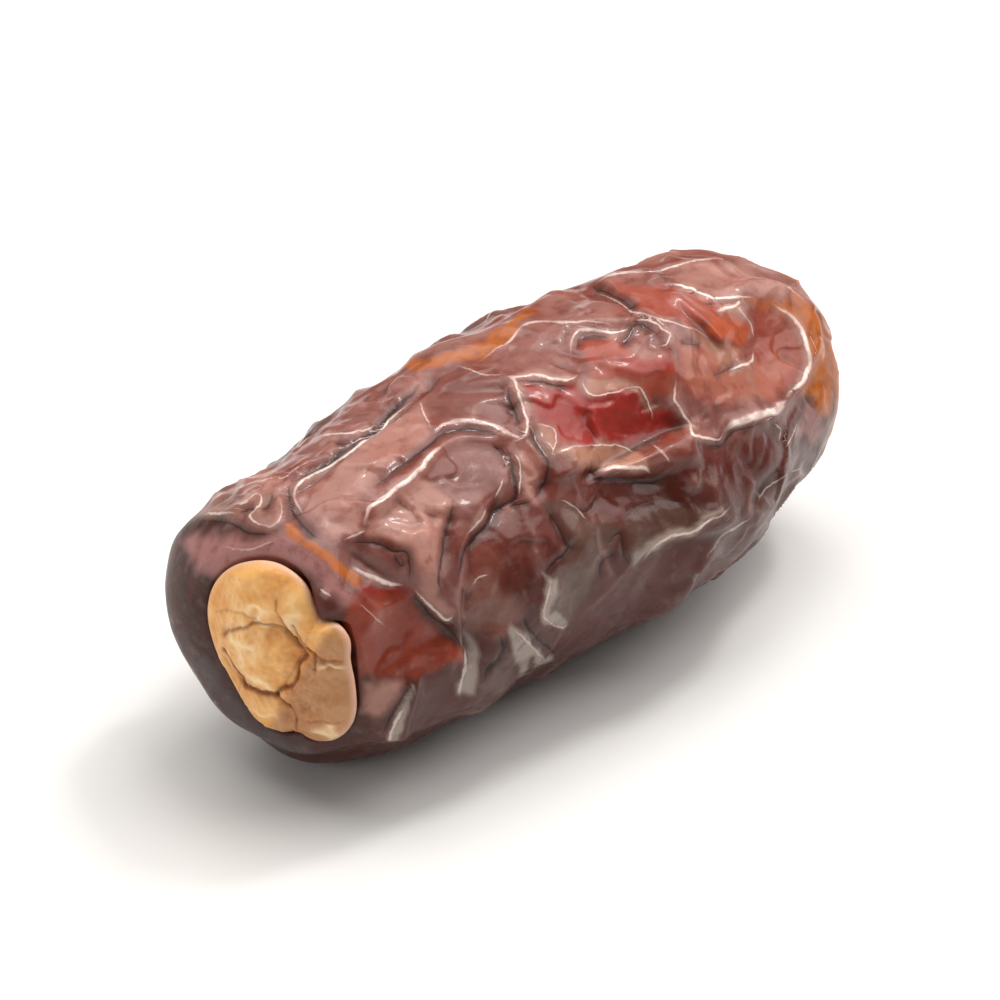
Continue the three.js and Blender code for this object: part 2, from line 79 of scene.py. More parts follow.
def swell(p, size, channel, waves=6):
    # Sum of plane sine waves with drawn directions, 0.7 to 1.4 times size long
    total = np.zeros(len(p))
    for k in range(waves):
        z = 2 * draw(k, channel) - 1
        turn = 2 * np.pi * draw(k, channel + 0.37)
        ring = np.sqrt(1 - z * z)
        way = np.array([ring * np.cos(turn), ring * np.sin(turn), z])
        pitch = size * (0.7 + 0.7 * draw(k, channel + 0.71))
        total += np.sin(2 * np.pi * (p @ way) / pitch + 2 * np.pi * draw(k, channel + 0.53))
    return total / np.sqrt(waves / 2)


def drift(p, size, channel):  # three swells, as a vector
    return np.stack([swell(p, size, channel + 10 * k) for k in range(3)], -1)


def driftBy(p, bends, channel):  # moves points by drifts, given as [mm, over mm]
    moved = p
    for k, (far, size) in enumerate(bends):
        moved = moved + far * drift(p, size, channel + k)
    return moved


# The fruit

fruit = {
    "length": 46.0, "radius": 10.0, "stemRoundness": 5.0, "tipRoundness": 2.55,
    "stemTaper": 0.09, "taperStart": 3.0, "droop": 0.7, "tipDroopShare": 0.35, "restHeight": 9.95,
    "stemCore": 8.5, "tipCore": 9.5,
    "oval": {"share": 0.022, "turn": 0.9, "twist": 0.05},
    "threeSided": {"share": 0.018, "turn": 2.1, "twist": 0.11},
    "rows": 345, "columns": 288, "denserInFront": 0.4, "frontAngle": 45,
    "calyxFromStem": 1.5, "calyxToFront": 3.25, "calyxUp": 0.85, "calyxTurn": 12,
    "seatGap": 0.08, "seatWall": 0.35, "dishSlope": 0.4, "dishBlend": 1.6, "proud": 0.3,
    "collarEnd": -20.4, "wrinklesStart": -17.8, "smoothTip": 3.5,
    "collarCalm": 0.1, "restCalm": 0.1, "restFrom": 0.72, "restTo": 0.93,
    "plateStretch": 0.8, "plateTilt": 0.45, "ridgeShare": 0.85, "creaseShare": 1.0,
    "steepReach": 0.55, "steepPower": 1.6, "slowShare": 2.6, "slowFrom": 0.5,
    "foldTaper": 0.2, "foldCover": 1.6,
    "edgeRise": 0.13, "creaseDrop": 0.22,
}
half = fruit["length"] / 2

# The nets of plates: how many, how far their middles wander, how their borders bend as [mm, over mm], how
# wide they blend and how far they step in mm, their borders as [height or share of it, mm wide], and how
# much they are calmed in front and on the folds
net = {"plates": 130, "wander": 1.2, "bends": [[0.5, 9], [0.25, 3.2]], "blend": 1.0, "step": 0.42,
       "wideBorder": [0.6, 0.8], "sharpBorder": [0.4, 0.2], "rise": 0.9, "dish": [0.2, 1.6],
       "more": 0.75, "less": 0.6, "frontCalm": 0.55, "foldCalm": 0.6}
fineNet = {"plates": 760, "wander": 1.3, "bends": [[0.35, 3.5], [0.15, 1.4]], "blend": 0.45, "step": 0.2,
           "border": [0.24, 0.16], "frontCalm": 0.6, "foldCalm": 0.7}
facets = {"plates": 170, "wander": 1.3, "blend": 0.3, "step": 0.2}
lowSwells = [[0.22, 15], [0.1, 7]]  # [mm high, mm long]
crinkles = {"x": -17.2, "angle": -6, "reach": [1.8, 3.2, 3.2]}  # the finer net is strong round this place

# Where the skin has more of something: swells over that many mm, with none of it at from and all of it at to
uneven = {
    "borders": {"from": -0.9, "to": 1, "over": 8, "channel": 40},
    "fewerBorders": {"from": 0.1, "to": 1.2, "over": 7, "channel": 44},
    "finerNet": {"from": -0.4, "to": 1.2, "over": 9, "channel": 41},
    "crackle": {"from": 0, "to": 1.2, "over": 9, "channel": 41},
    "bloomAndSheen": {"from": -1.2, "to": 0.6, "over": 5, "channel": 80},
    "linesBehind": {"from": -0.6, "to": 0.7, "over": 7, "channel": 81},
}

# Folds seen from the front: [mm along x, degrees round], height in mm (negative is a crease), and the
# widths in mm to the left and to the right of the walk along the path. The narrow side is the steep one.
folds = [
    {"name": "collar lip", "height": 0.45, "widths": [0.5, 0.5],
     "path": [[-19.2, -100], [-19.5, -70], [-19.8, -40], [-20, -10], [-19.9, 20], [-19.6, 45],
              [-19.2, 62]]},
    {"name": "long crease", "height": -0.6, "widths": [0.35, 0.3],
     "path": [[-18.5, -4], [-17.5, -1], [-15, -1], [-11.5, -4], [-7, -10], [-5, -14], [-3, -18]]},
    {"name": "ridge beside it", "height": 0.3, "widths": [0.3, 1.2],
     "path": [[-18.5, 6], [-17, 4], [-14.5, 4], [-12, 2], [-9, -1], [-7, -5]]},
    {"name": "long ridge", "height": 0.5, "widths": [0.3, 1.3],
     "path": [[-4, 31], [-5, 26], [-6.5, 21], [-8, 18], [-10.5, 20], [-13, 25], [-15.5, 27], [-16.5, 32]]},
    {"name": "riser", "height": 0.5, "widths": [1.1, 0.3],
     "path": [[-2, 8], [-2.4, 14], [-2.5, 21], [-4, 31], [-4, 46], [-4, 56]]},
    {"name": "shelf edge", "height": 0.5, "widths": [0.9, 0.3],
     "path": [[-5, -12], [-3.5, 1], [-2, 8], [-0.5, 15], [1, 19], [2, 18]]},
    {"name": "upper plate", "height": 0.35, "widths": [1, 0.4],
     "path": [[-2, 8], [1.5, -3], [4, -5], [6, 1]]},
    {"name": "plate border", "height": 0.5, "widths": [0.8, 0.3],
     "path": [[2, 15], [4, 2], [5.5, 2], [7, 10], [8.5, 7], [9, 15], [8.5, 24], [7.5, 34], [6.5, 46],
              [6.5, 57], [8.5, 63]]},
    {"name": "tip loop", "height": 0.75, "widths": [0.4, 1],
     "path": [[12.5, 1], [14.5, 10], [18, 14], [19.3, 26], [19.5, 42], [18, 56], [15.5, 62], [13, 64],
              [10.5, 63], [8.5, 63]]},
    {"name": "crown crease", "height": -0.45, "widths": [0.3, 0.3],
     "path": [[9, -22], [8.5, -10], [8.5, 1], [8.5, 9]]},
    {"name": "crown ridge", "height": 0.4, "widths": [0.5, 0.9],
     "path": [[9, -19], [11, -17], [12, -10], [12.5, 1]]},
    {"name": "ledge", "height": 0.8, "widths": [0.7, 0.35],
     "path": [[-3.5, 44], [-2, 46], [0, 51], [2.5, 57], [5, 61], [7, 64]]},
    {"name": "crease below the ledge", "height": -0.6, "widths": [0.5, 0.6],
     "path": [[-3, 54], [0, 61], [2.5, 66], [5, 69]]},
    {"name": "flank bar", "height": 0.6, "widths": [0.5, 0.9],
     "path": [[-5, 56], [-4.5, 66], [-4, 73], [-5.5, 78], [-6.7, 86], [-7, 96], [-5.5, 106]]},
    {"name": "flank ridge", "height": 0.55, "widths": [1, 0.4],
     "path": [[-2, 92], [-0.5, 87], [1.5, 83], [4, 86], [7, 87], [9, 84]]},
    {"name": "collar facet", "height": -0.7, "widths": [0.35, 0.8],
     "path": [[-19, 30], [-18, 36], [-17, 48], [-16, 57], [-15, 69], [-14, 82], [-13.3, 90]]},
    {"name": "facet lip", "height": 0.55, "widths": [0.8, 0.35],
     "path": [[-16.5, 32], [-15.3, 46], [-14.7, 60], [-13.4, 74], [-12.8, 84]]},
    {"name": "flank crease", "height": -0.7, "widths": [0.5, 0.4],
     "path": [[-6, 42], [-8, 46], [-10, 50], [-11.5, 60], [-12.6, 74], [-12.5, 90], [-12.5, 104]]},
    {"name": "flank swell", "height": 0.4, "widths": [0.6, 0.6],
     "path": [[-9.5, 36], [-10.3, 48], [-12, 61], [-13, 72]]},
    {"name": "shoulder streak", "height": 0.7, "widths": [0.4, 0.8],
     "path": [[-16.3, 88], [-16.8, 100], [-17, 113], [-16.5, 128]]},
    {"name": "first finger", "height": 0.55, "widths": [0.5, 0.6],
     "path": [[-10, 84], [-10.6, 96], [-11.8, 108], [-12, 122]]},
    {"name": "second finger", "height": 0.55, "widths": [0.6, 0.5],
     "path": [[-10, 86], [-9.2, 98], [-7.5, 108], [-5, 124]]},
    {"name": "third finger", "height": 0.45, "widths": [0.5, 0.5],
     "path": [[-10, 88], [-10, 106], [-9.2, 126]]},
    {"name": "fold inside the loop", "height": 0.5, "widths": [0.5, 0.8],
     "path": [[9, 30], [10.5, 42], [12.5, 44], [14, 40]]},
    {"name": "ridge inside the loop", "height": 0.55, "widths": [0.8, 0.4],
     "path": [[10.5, 3], [11.5, 17], [12, 27], [12.5, 36]]},
    {"name": "tip flank", "height": 0.5, "widths": [0.6, 0.5],
     "path": [[9, 76], [12, 82], [13, 90], [10.5, 96], [8.5, 92]]},
    {"name": "low wing", "height": 0.7, "widths": [0.5, 0.7],
     "path": [[6, 90], [4.7, 100], [4, 112], [1.5, 120]]},
    {"name": "top fringe", "height": 0.9, "widths": [0.5, 0.8],
     "path": [[-5, -33], [-2, -26], [0.5, -20], [2.5, -17], [4.5, -21], [7, -25], [9, -20]]},
]

# The front view: its right, its up, and its way back to the viewer
viewAzimuth, viewElevation = math.radians(-44), math.radians(33)
viewRight = np.array([math.cos(viewAzimuth), math.sin(viewAzimuth), 0])
viewBack = np.array([math.sin(viewAzimuth) * math.cos(viewElevation),
                     -math.cos(viewAzimuth) * math.cos(viewElevation), math.sin(viewElevation)])
viewUp = np.cross(viewBack, viewRight)

# How the markings fade where the skin turns away: none and all of them, as the cosine to the viewer
fading = {"patches": (0.02, 0.2), "lines": (0.07, 0.3), "slopes": (0.1, 0.35)}

lineShape = {
    "near": 0.5, "reliefReach": 0.3,  # mm from the line
    "endWidth": 0.6, "widen": 0.3, "strengthen": 0.22,  # shares of its width and of its length
    "apart": 0.15, "onIt": (0.14, 0.05),  # mm to the next line, which counts only where this one isn't near
}
patchShake = [[0.14, 2.2], [0.04, 0.9]]  # [mm, over mm] by which the patches' borders are uneven

# Markings of the side that faces the viewer, drawn in the front view: mm to the right and up of the middle
# of the fruit. Light edges are painted highlights where a plate's border catches the light, and dark creases
# are painted shade where two plates meet.
paintedGlintEdges = [
    {"name": "lower side of the long crease", "width": 0.16, "strength": 0.95,
     "seen": [[-11.9, -1.1], [-12.5, -0.4], [-12.7, 0.3], [-12.4, 0.9], [-11.6, 1.5], [-10.4, 2.1],
              [-9.6, 2.7], [-8.7, 3.3], [-7.9, 3.9], [-7.4, 4.6], [-6.6, 5.3], [-5.7, 5.9]]},
    {"name": "short branch of it", "width": 0.08, "strength": 0.5,
     "seen": [[-5.7, 5.8], [-5.4, 5], [-4.9, 4.1]]},
    {"name": "sparkling crest", "width": 0.24, "strength": 1,
     "seen": [[-8.7, -1.8], [-8.5, -0.7], [-7.8, -0.1], [-7, 0.5], [-6.3, 1], [-5.6, 1.6], [-5.1, 2.3],
              [-4.6, 2.8], [-4, 3.3]]},
    {"name": "foot of the crest", "width": 0.12, "strength": 0.6,
     "seen": [[-8.6, -1.8], [-9.1, -2], [-9.9, -2.3]]},
    {"name": "lip of the upper plate", "width": 0.2, "strength": 0.6,
     "seen": [[-4.9, 3.7], [-4.2, 4.3], [-2.8, 4.5], [-1.3, 4.2], [-0.2, 3.6], [0.4, 3.6]]},
    {"name": "riser", "width": 0.12, "strength": 1,
     "seen": [[-0.7, 7.4], [-0.2, 6.8], [0.1, 5.9], [0.4, 5], [0.6, 4.2], [0.4, 3.6], [-0.3, 3.3]]},
    {"name": "shelf", "width": 0.13, "strength": 1,
     "seen": [[-0.6, 7.2], [0.1, 7], [1.2, 7.2], [2.1, 6.9], [3.1, 6.9], [3.6, 7.3]]},
    {"name": "shelf to the left", "width": 0.07, "strength": 0.5,
     "seen": [[-3.6, 7.8], [-1.9, 7.2], [-0.8, 7.2]]},
    {"name": "upper edge of the mauve plate", "width": 0.12, "strength": 0.55,
     "seen": [[-2.6, 7.7], [-1.4, 8.6], [-0.5, 9.1], [0.1, 9.8], [0.8, 10.3], [2.7, 10.3], [4.9, 10.3],
              [5.9, 9.8]]},
    {"name": "corner of the pocket", "width": 0.12, "strength": 0.8,
     "seen": [[3.1, 8.1], [3.2, 9.1], [3.5, 9.7], [4.2, 9.9], [5.5, 9.7], [6.2, 9.8], [6.6, 10.2]]},
    {"name": "crown of the pocket", "width": 0.11, "strength": 0.8,
     "seen": [[6.8, 10.6], [7.5, 10.5], [8.1, 10.3], [8.5, 9.9], [8.9, 9.6], [8.7, 9], [8.3, 9]]},
    {"name": "floor of the pocket", "width": 0.1, "strength": 0.6,
     "seen": [[3.8, 7.2], [3.9, 6.5], [4.4, 6], [5.7, 6.2], [7, 6.5], [7.5, 5.9], [7.8, 5.1], [7.9, 4.5]]},
    {"name": "tab", "width": 0.07, "strength": 0.6,
     "seen": [[-0.2, 2.7], [0.1, 2.2], [0.2, 1.2], [0.2, 0.1]]},
    {"name": "strip beside the tab", "width": 0.08, "strength": 0.5,
     "seen": [[1, 4.4], [2.1, 4], [2.2, 3.2], [2, 2.3]]},
    {"name": "ledge", "width": 0.2, "strength": 1,
     "seen": [[4.4, 1.5], [5, 1.7], [5.5, 1.9], [6.4, 1.8], [7.3, 1.8], [7.9, 1.4]]},
    {"name": "upper edge of the ledge", "width": 0.1, "strength": 0.5,
     "seen": [[2.1, 2.6], [3.2, 3], [4.6, 3.1], [6, 3.1], [7, 2.6]]},
    {"name": "bump right of the ledge", "width": 0.12, "strength": 0.6,
     "seen": [[7.8, 3.2], [8.5, 2.6], [8.9, 2.1]]},
    {"name": "left end of the loop", "width": 0.14, "strength": 0.9,
     "seen": [[9.3, 7.4], [9.2, 6.3], [9.2, 5.7], [9.6, 5], [10, 4.4], [10.2, 3.8], [11, 3.6], [11.8, 3.5],
              [12.1, 4]]},
    {"name": "loop", "width": 0.22, "strength": 1,
     "seen": [[15.1, 11.7], [16, 11], [16.8, 10.1], [17.2, 9], [17.3, 8], [16.9, 7], [16.2, 6.4],
              [15.7, 5.8]]},
    {"name": "thick part of the loop", "width": 0.42, "strength": 1,
     "seen": [[16.4, 6.6], [15.7, 5.8], [15.2, 5.2], [14.3, 5], [13.2, 4.6], [12.6, 4.4], [12, 3.9]]},
    {"name": "curve below the crown", "width": 0.14, "strength": 0.95,
     "seen": [[8.3, 12.7], [9.5, 12.6], [10.3, 12.4], [11, 12], [12, 11.8], [13, 11.9], [14.2, 12]]},
    {"name": "hook of that curve", "width": 0.2, "strength": 0.7,
     "seen": [[13.2, 11.8], [13, 11.4], [12.3, 11.2], [11.7, 11.1]]},
    {"name": "rim of the crown", "width": 0.12, "strength": 0.75,
     "seen": [[4.4, 12.5], [5, 13], [6, 13.3], [8, 13.4], [9.5, 13.8], [10.5, 14.1], [12, 14.3],
              [13.2, 14.1], [14.5, 13.8], [15.5, 13.2], [16.3, 12.5], [17, 11.9], [17.8, 11.1]]},
    {"name": "slanted edge", "width": 0.1, "strength": 0.5,
     "seen": [[4.4, 12.4], [5, 12.1], [6, 11.6], [6.8, 11], [7.5, 10.8], [8.5, 10.5], [9.5, 10.2],
              [10.5, 9.9], [11.6, 9.3]]},
    {"name": "lip inside the loop", "width": 0.14, "strength": 0.75,
     "seen": [[12.4, 7.6], [13.3, 7.9], [13.8, 8.1], [14, 8.8]]},
    {"name": "arch inside the loop", "width": 0.12, "strength": 0.55,
     "seen": [[14, 9.5], [13.8, 10.3], [13.4, 10.9], [13, 11.4]]},
    {"name": "tip wrinkle", "width": 0.08, "strength": 0.6,
     "seen": [[15.2, 4.5], [15.5, 4.1], [15.4, 3.4]]},
    {"name": "second tip wrinkle", "width": 0.08, "strength": 0.6,
     "seen": [[16.6, 4.5], [16.2, 3.7], [15.8, 3]]},
    {"name": "line on the amber tip", "width": 0.1, "strength": 0.6,
     "seen": [[18, 9.8], [18.3, 9], [18.2, 8.2]]},
    {"name": "upper edge of the flank bar", "width": 0.1, "strength": 0.4,
     "seen": [[2.4, 0], [3.3, -0.4], [4.1, -1.2]]},
    {"name": "left edge of the flank bar", "width": 0.11, "strength": 0.6,
     "seen": [[2, -4.3], [1.8, -5.4], [1.5, -6.7], [2.5, -7.4], [3, -7.2]]},
    {"name": "bright low line", "width": 0.13, "strength": 0.75,
     "seen": [[7.2, -3.8], [7.8, -2.9], [8.7, -2.2], [9.5, -2], [10.3, -1.8], [11.1, -1.2], [11.8, -1],
              [12.6, -0.3]]},
    {"name": "low patch to the tip", "width": 0.12, "strength": 0.45,
     "seen": [[11, -3.5], [11.5, -2.8], [12, -2.1], [13, -1.5], [13.8, -1]]},
    {"name": "low line to the tip", "width": 0.08, "strength": 0.35,
     "seen": [[14.2, -0.3], [14.6, 0.6], [15.5, 1.2], [16.5, 1.7], [17.5, 2]]},
    {"name": "end of the finger plate", "width": 0.13, "strength": 0.75,
     "seen": [[-5.9, -5], [-5.3, -5.8], [-4.6, -6.4], [-4, -6.9], [-3.6, -6.5]]},
    {"name": "point of the middle plate", "width": 0.11, "strength": 0.8,
     "seen": [[-1.7, -0.5], [-2.2, -1.3], [-2.9, -2]]},
    {"name": "speckle beside the crevice", "width": 0.1, "strength": 0.55,
     "seen": [[-0.8, 1.2], [-1, 0.6], [-1.3, 0]]},
    {"name": "curl on the flank", "width": 0.08, "strength": 0.5,
     "seen": [[-2.6, -5], [-2.3, -4.5], [-1.6, -4.3]]},
    {"name": "lip above the red facet", "width": 0.24, "strength": 0.85,
     "seen": [[-9.4, -3.8], [-8.8, -4.2], [-8.1, -4.5], [-7.3, -4.8], [-6.4, -4.9]]},
    {"name": "left finger", "width": 0.14, "strength": 0.5,
     "seen": [[-3, -8.3], [-3, -9.5], [-3.3, -10.7], [-3.3, -11.3]]},
    {"name": "right finger", "width": 0.12, "strength": 0.45,
     "seen": [[-0.3, -7.4], [0.5, -8.1], [1.3, -9], [2.3, -9.8]]},
    {"name": "first crinkle", "width": 0.12, "strength": 0.6,
     "seen": [[-18.1, -0.7], [-17.3, 0.1], [-16.1, 0.8]]},
    {"name": "second crinkle", "width": 0.1, "strength": 0.5,
     "seen": [[-16.8, 0.4], [-15.2, 0.9], [-13.4, 1.3]]},
    {"name": "zigzag crinkle", "width": 0.1, "strength": 0.6,
     "seen": [[-15.6, 0.8], [-14.5, 0], [-15.2, -1], [-14.1, -1.6], [-13.4, -0.9], [-13.6, 0.4]]},
    {"name": "short crinkle", "width": 0.1, "strength": 0.5,
     "seen": [[-16.4, -0.4], [-15.4, -0.1], [-14.8, 0.5]]},
    {"name": "top of the collar", "width": 0.12, "strength": 0.6,
     "seen": [[-18.1, -0.9], [-17, -0.8], [-16, -0.8]]},
    {"name": "line on the collar's lip", "width": 0.1, "strength": 0.45,
     "seen": [[-17, -2.6], [-15.7, -2.9], [-14.6, -2.7], [-13.7, -2.3]]},
    {"name": "glint beside the calyx", "width": 0.14, "strength": 0.9,
     "seen": [[-11.2, -5.1], [-10.9, -5.3], [-10.5, -5.5]]},
    {"name": "streak in the facet", "width": 0.08, "strength": 0.35,
     "seen": [[-9, -5.9], [-8.3, -6.5], [-7.5, -7.3]]},
    {"name": "end of the shoulder streak", "width": 0.14, "strength": 0.6,
     "seen": [[-6.3, -11.6], [-7.2, -13.3], [-7.5, -14.9]]},
    {"name": "left plate", "width": 0.1, "strength": 0.6,
     "seen": [[-11.8, 3.6], [-10.4, 3.7], [-9, 3.9], [-8, 4.4]]},
    {"name": "lower left plate", "width": 0.08, "strength": 0.45,
     "seen": [[-14.2, 1.4], [-13.4, 1.2], [-12.4, 1.9], [-11.2, 2.4]]},
]
# Painted shade along the creases where two plates meet
paintedShadeCreases = [
    {"name": "long crease", "width": 0.15, "strength": 1,
     "seen": [[-13.2, 0.8], [-12.3, 1.3], [-11, 1.9], [-10.1, 2.7], [-9, 3.5], [-8.1, 4], [-7.6, 4.7],
              [-6.9, 5.5], [-6, 6.3], [-5.2, 7.3]]},
    {"name": "branch of the long crease", "width": 0.1, "strength": 0.7,
     "seen": [[-10.6, 3.3], [-9.8, 3.3], [-9, 3.5]]},
    {"name": "end of the long crease", "width": 0.12, "strength": 0.8,
     "seen": [[-13.1, 1], [-13, -0.2], [-12.5, -1.1], [-11.9, -1.8], [-11, -2.3]]},
    {"name": "line above the crest", "width": 0.09, "strength": 0.8,
     "seen": [[-8.6, 0.5], [-7.7, 1.1], [-6.9, 1.8], [-6, 2.4], [-4.9, 3.3], [-4.1, 3.9], [-2.8, 4.1],
              [-1.3, 3.8], [-0.8, 3.4]]},
    {"name": "left of the riser", "width": 0.1, "strength": 0.7,
     "seen": [[-0.6, 6.7], [-0.4, 5.7], [0, 4.8], [0.2, 4.2]]},
    {"name": "right of the tab", "width": 0.12, "strength": 0.9,
     "seen": [[0.6, 4.3], [0.9, 3.8], [1.3, 3.1], [1.9, 2], [1.4, 0.6], [0.9, -0.1]]},
    {"name": "below the shelf", "width": 0.1, "strength": 0.6,
     "seen": [[0.2, 6.7], [1.3, 6.9], [2.2, 6.6], [3.2, 6.6]]},
    {"name": "inside the pocket", "width": 0.1, "strength": 0.7,
     "seen": [[3.5, 8.6], [3.7, 9.4], [4.4, 9.6], [5.7, 9.4]]},
    {"name": "under the crown of the pocket", "width": 0.12, "strength": 0.8,
     "seen": [[5.6, 9.2], [6.4, 9.3], [6.9, 10.3], [7.6, 10.1], [8.3, 9.6]]},
    {"name": "slanted crease", "width": 0.1, "strength": 0.8,
     "seen": [[4.1, 12.6], [5, 12.4], [6, 11.9], [6.7, 11.3], [6.6, 10.4]]},
    {"name": "left side of the tab", "width": 0.12, "strength": 0.9,
     "seen": [[-0.9, 3.2], [-0.5, 2.7], [-0.2, 1.7], [0, 0.6], [-0.2, -0.1], [-1.2, -0.6], [-1.7, -1.5],
              [-2.4, -2.2], [-3, -3.1], [-3.3, -4.3], [-3.5, -6.1]]},
    {"name": "foot of the tab", "width": 0.09, "strength": 0.7,
     "seen": [[0.9, -0.1], [0.2, -0.3], [-0.6, -0.4]]},
    {"name": "second line of the crevice", "width": 0.08, "strength": 0.6,
     "seen": [[-1.5, 3.1], [-1, 2.9], [-0.6, 2.2], [-0.9, 1.7]]},
    {"name": "right of the finger plate", "width": 0.12, "strength": 0.7,
     "seen": [[-3.6, 0.3], [-3.7, -0.8], [-4, -1.8], [-4.2, -3], [-4.4, -4.6], [-4.2, -5.6]]},
    {"name": "left of the finger plate", "width": 0.1, "strength": 0.75,
     "seen": [[-9.8, -2.5], [-8.9, -2.4], [-7.8, -2.5], [-7, -2.9], [-6.2, -3], [-6.1, -4], [-6.1, -5]]},
    {"name": "below the finger plate", "width": 0.13, "strength": 0.9,
     "seen": [[-6.1, -5.1], [-5.6, -5.8], [-4.8, -6.7], [-4, -7.3], [-3.3, -8.1], [-3.3, -9]]},
    {"name": "line in the small plate", "width": 0.07, "strength": 0.6,
     "seen": [[-7, -3], [-6.7, -3.6], [-6.4, -3.9]]},
    {"name": "right edge of the flank facet", "width": 0.12, "strength": 0.8,
     "seen": [[1.4, -0.2], [2.1, -1.1], [2.8, -2.4], [3, -2.9], [2, -3.9], [1.6, -5]]},
    {"name": "below the ledge", "width": 0.16, "strength": 0.75,
     "seen": [[4.2, 1], [4.8, 1.2], [6, 1.2], [8, 1], [9, 1.7]]},
    {"name": "below the loop", "width": 0.14, "strength": 0.6,
     "seen": [[10.2, 3.4], [11.9, 3.1], [12.6, 3.9], [13.5, 4.2], [15, 4.6]]},
    {"name": "red line inside the loop", "width": 0.08, "strength": 0.5,
     "seen": [[11.3, 7], [12.5, 7.7], [13.4, 7.6]]},
    {"name": "short line inside the loop", "width": 0.07, "strength": 0.5, "seen": [[9.5, 9.2], [11, 9.1]]},
    {"name": "gap between the fingers", "width": 0.2, "strength": 0.8,
     "seen": [[-1.1, -7.6], [-0.7, -8.5], [-1, -9.3], [-1.6, -9.8], [-1.9, -10.6]]},
    {"name": "right of the right finger", "width": 0.14, "strength": 0.8,
     "seen": [[0.4, -6.5], [0.8, -7.6], [2, -8.8], [2.9, -9.8]]},
    {"name": "hook on the flank", "width": 0.1, "strength": 0.6,
     "seen": [[2.7, -0.1], [3.8, -0.7], [4.4, -0.4], [4.5, 0.3]]},
    {"name": "small finger of the flank", "width": 0.1, "strength": 0.6,
     "seen": [[6, -3], [5, -3.6], [4.8, -4.8]]},
    {"name": "left of the low patch", "width": 0.12, "strength": 0.6,
     "seen": [[5, -2.9], [6, -2], [6.2, -3.2], [6.7, -4]]},
    {"name": "top of the low patch", "width": 0.1, "strength": 0.4,
     "seen": [[6.2, -1.3], [7, -0.4], [8.5, 0], [10.4, -0.4]]},
    {"name": "line to the tip", "width": 0.1, "strength": 0.5,
     "seen": [[14, -0.6], [14.2, 0.3], [15, 1.4], [16.3, 1.9]]},
    {"name": "first crinkle at the collar", "width": 0.12, "strength": 0.7,
     "seen": [[-17.4, -0.5], [-16.3, 0.1], [-15.5, 0.3]]},
    {"name": "second crinkle at the collar", "width": 0.12, "strength": 0.7,
     "seen": [[-15.9, -0.8], [-15.3, -0.5], [-14.9, -0.7]]},
    {"name": "third crinkle at the collar", "width": 0.12, "strength": 0.7,
     "seen": [[-14.7, -0.6], [-14.2, -0.3], [-14, 0.5]]},
    {"name": "edge of the collar", "width": 0.12, "strength": 0.6,
     "seen": [[-18.3, -1.2], [-16.5, -1.3], [-15.3, -1.9], [-13.6, -2]]},
    {"name": "beside the shoulder streak", "width": 0.14, "strength": 0.6,
     "seen": [[-5.9, -10.4], [-6.8, -11.8], [-7.8, -13.6]]},
]

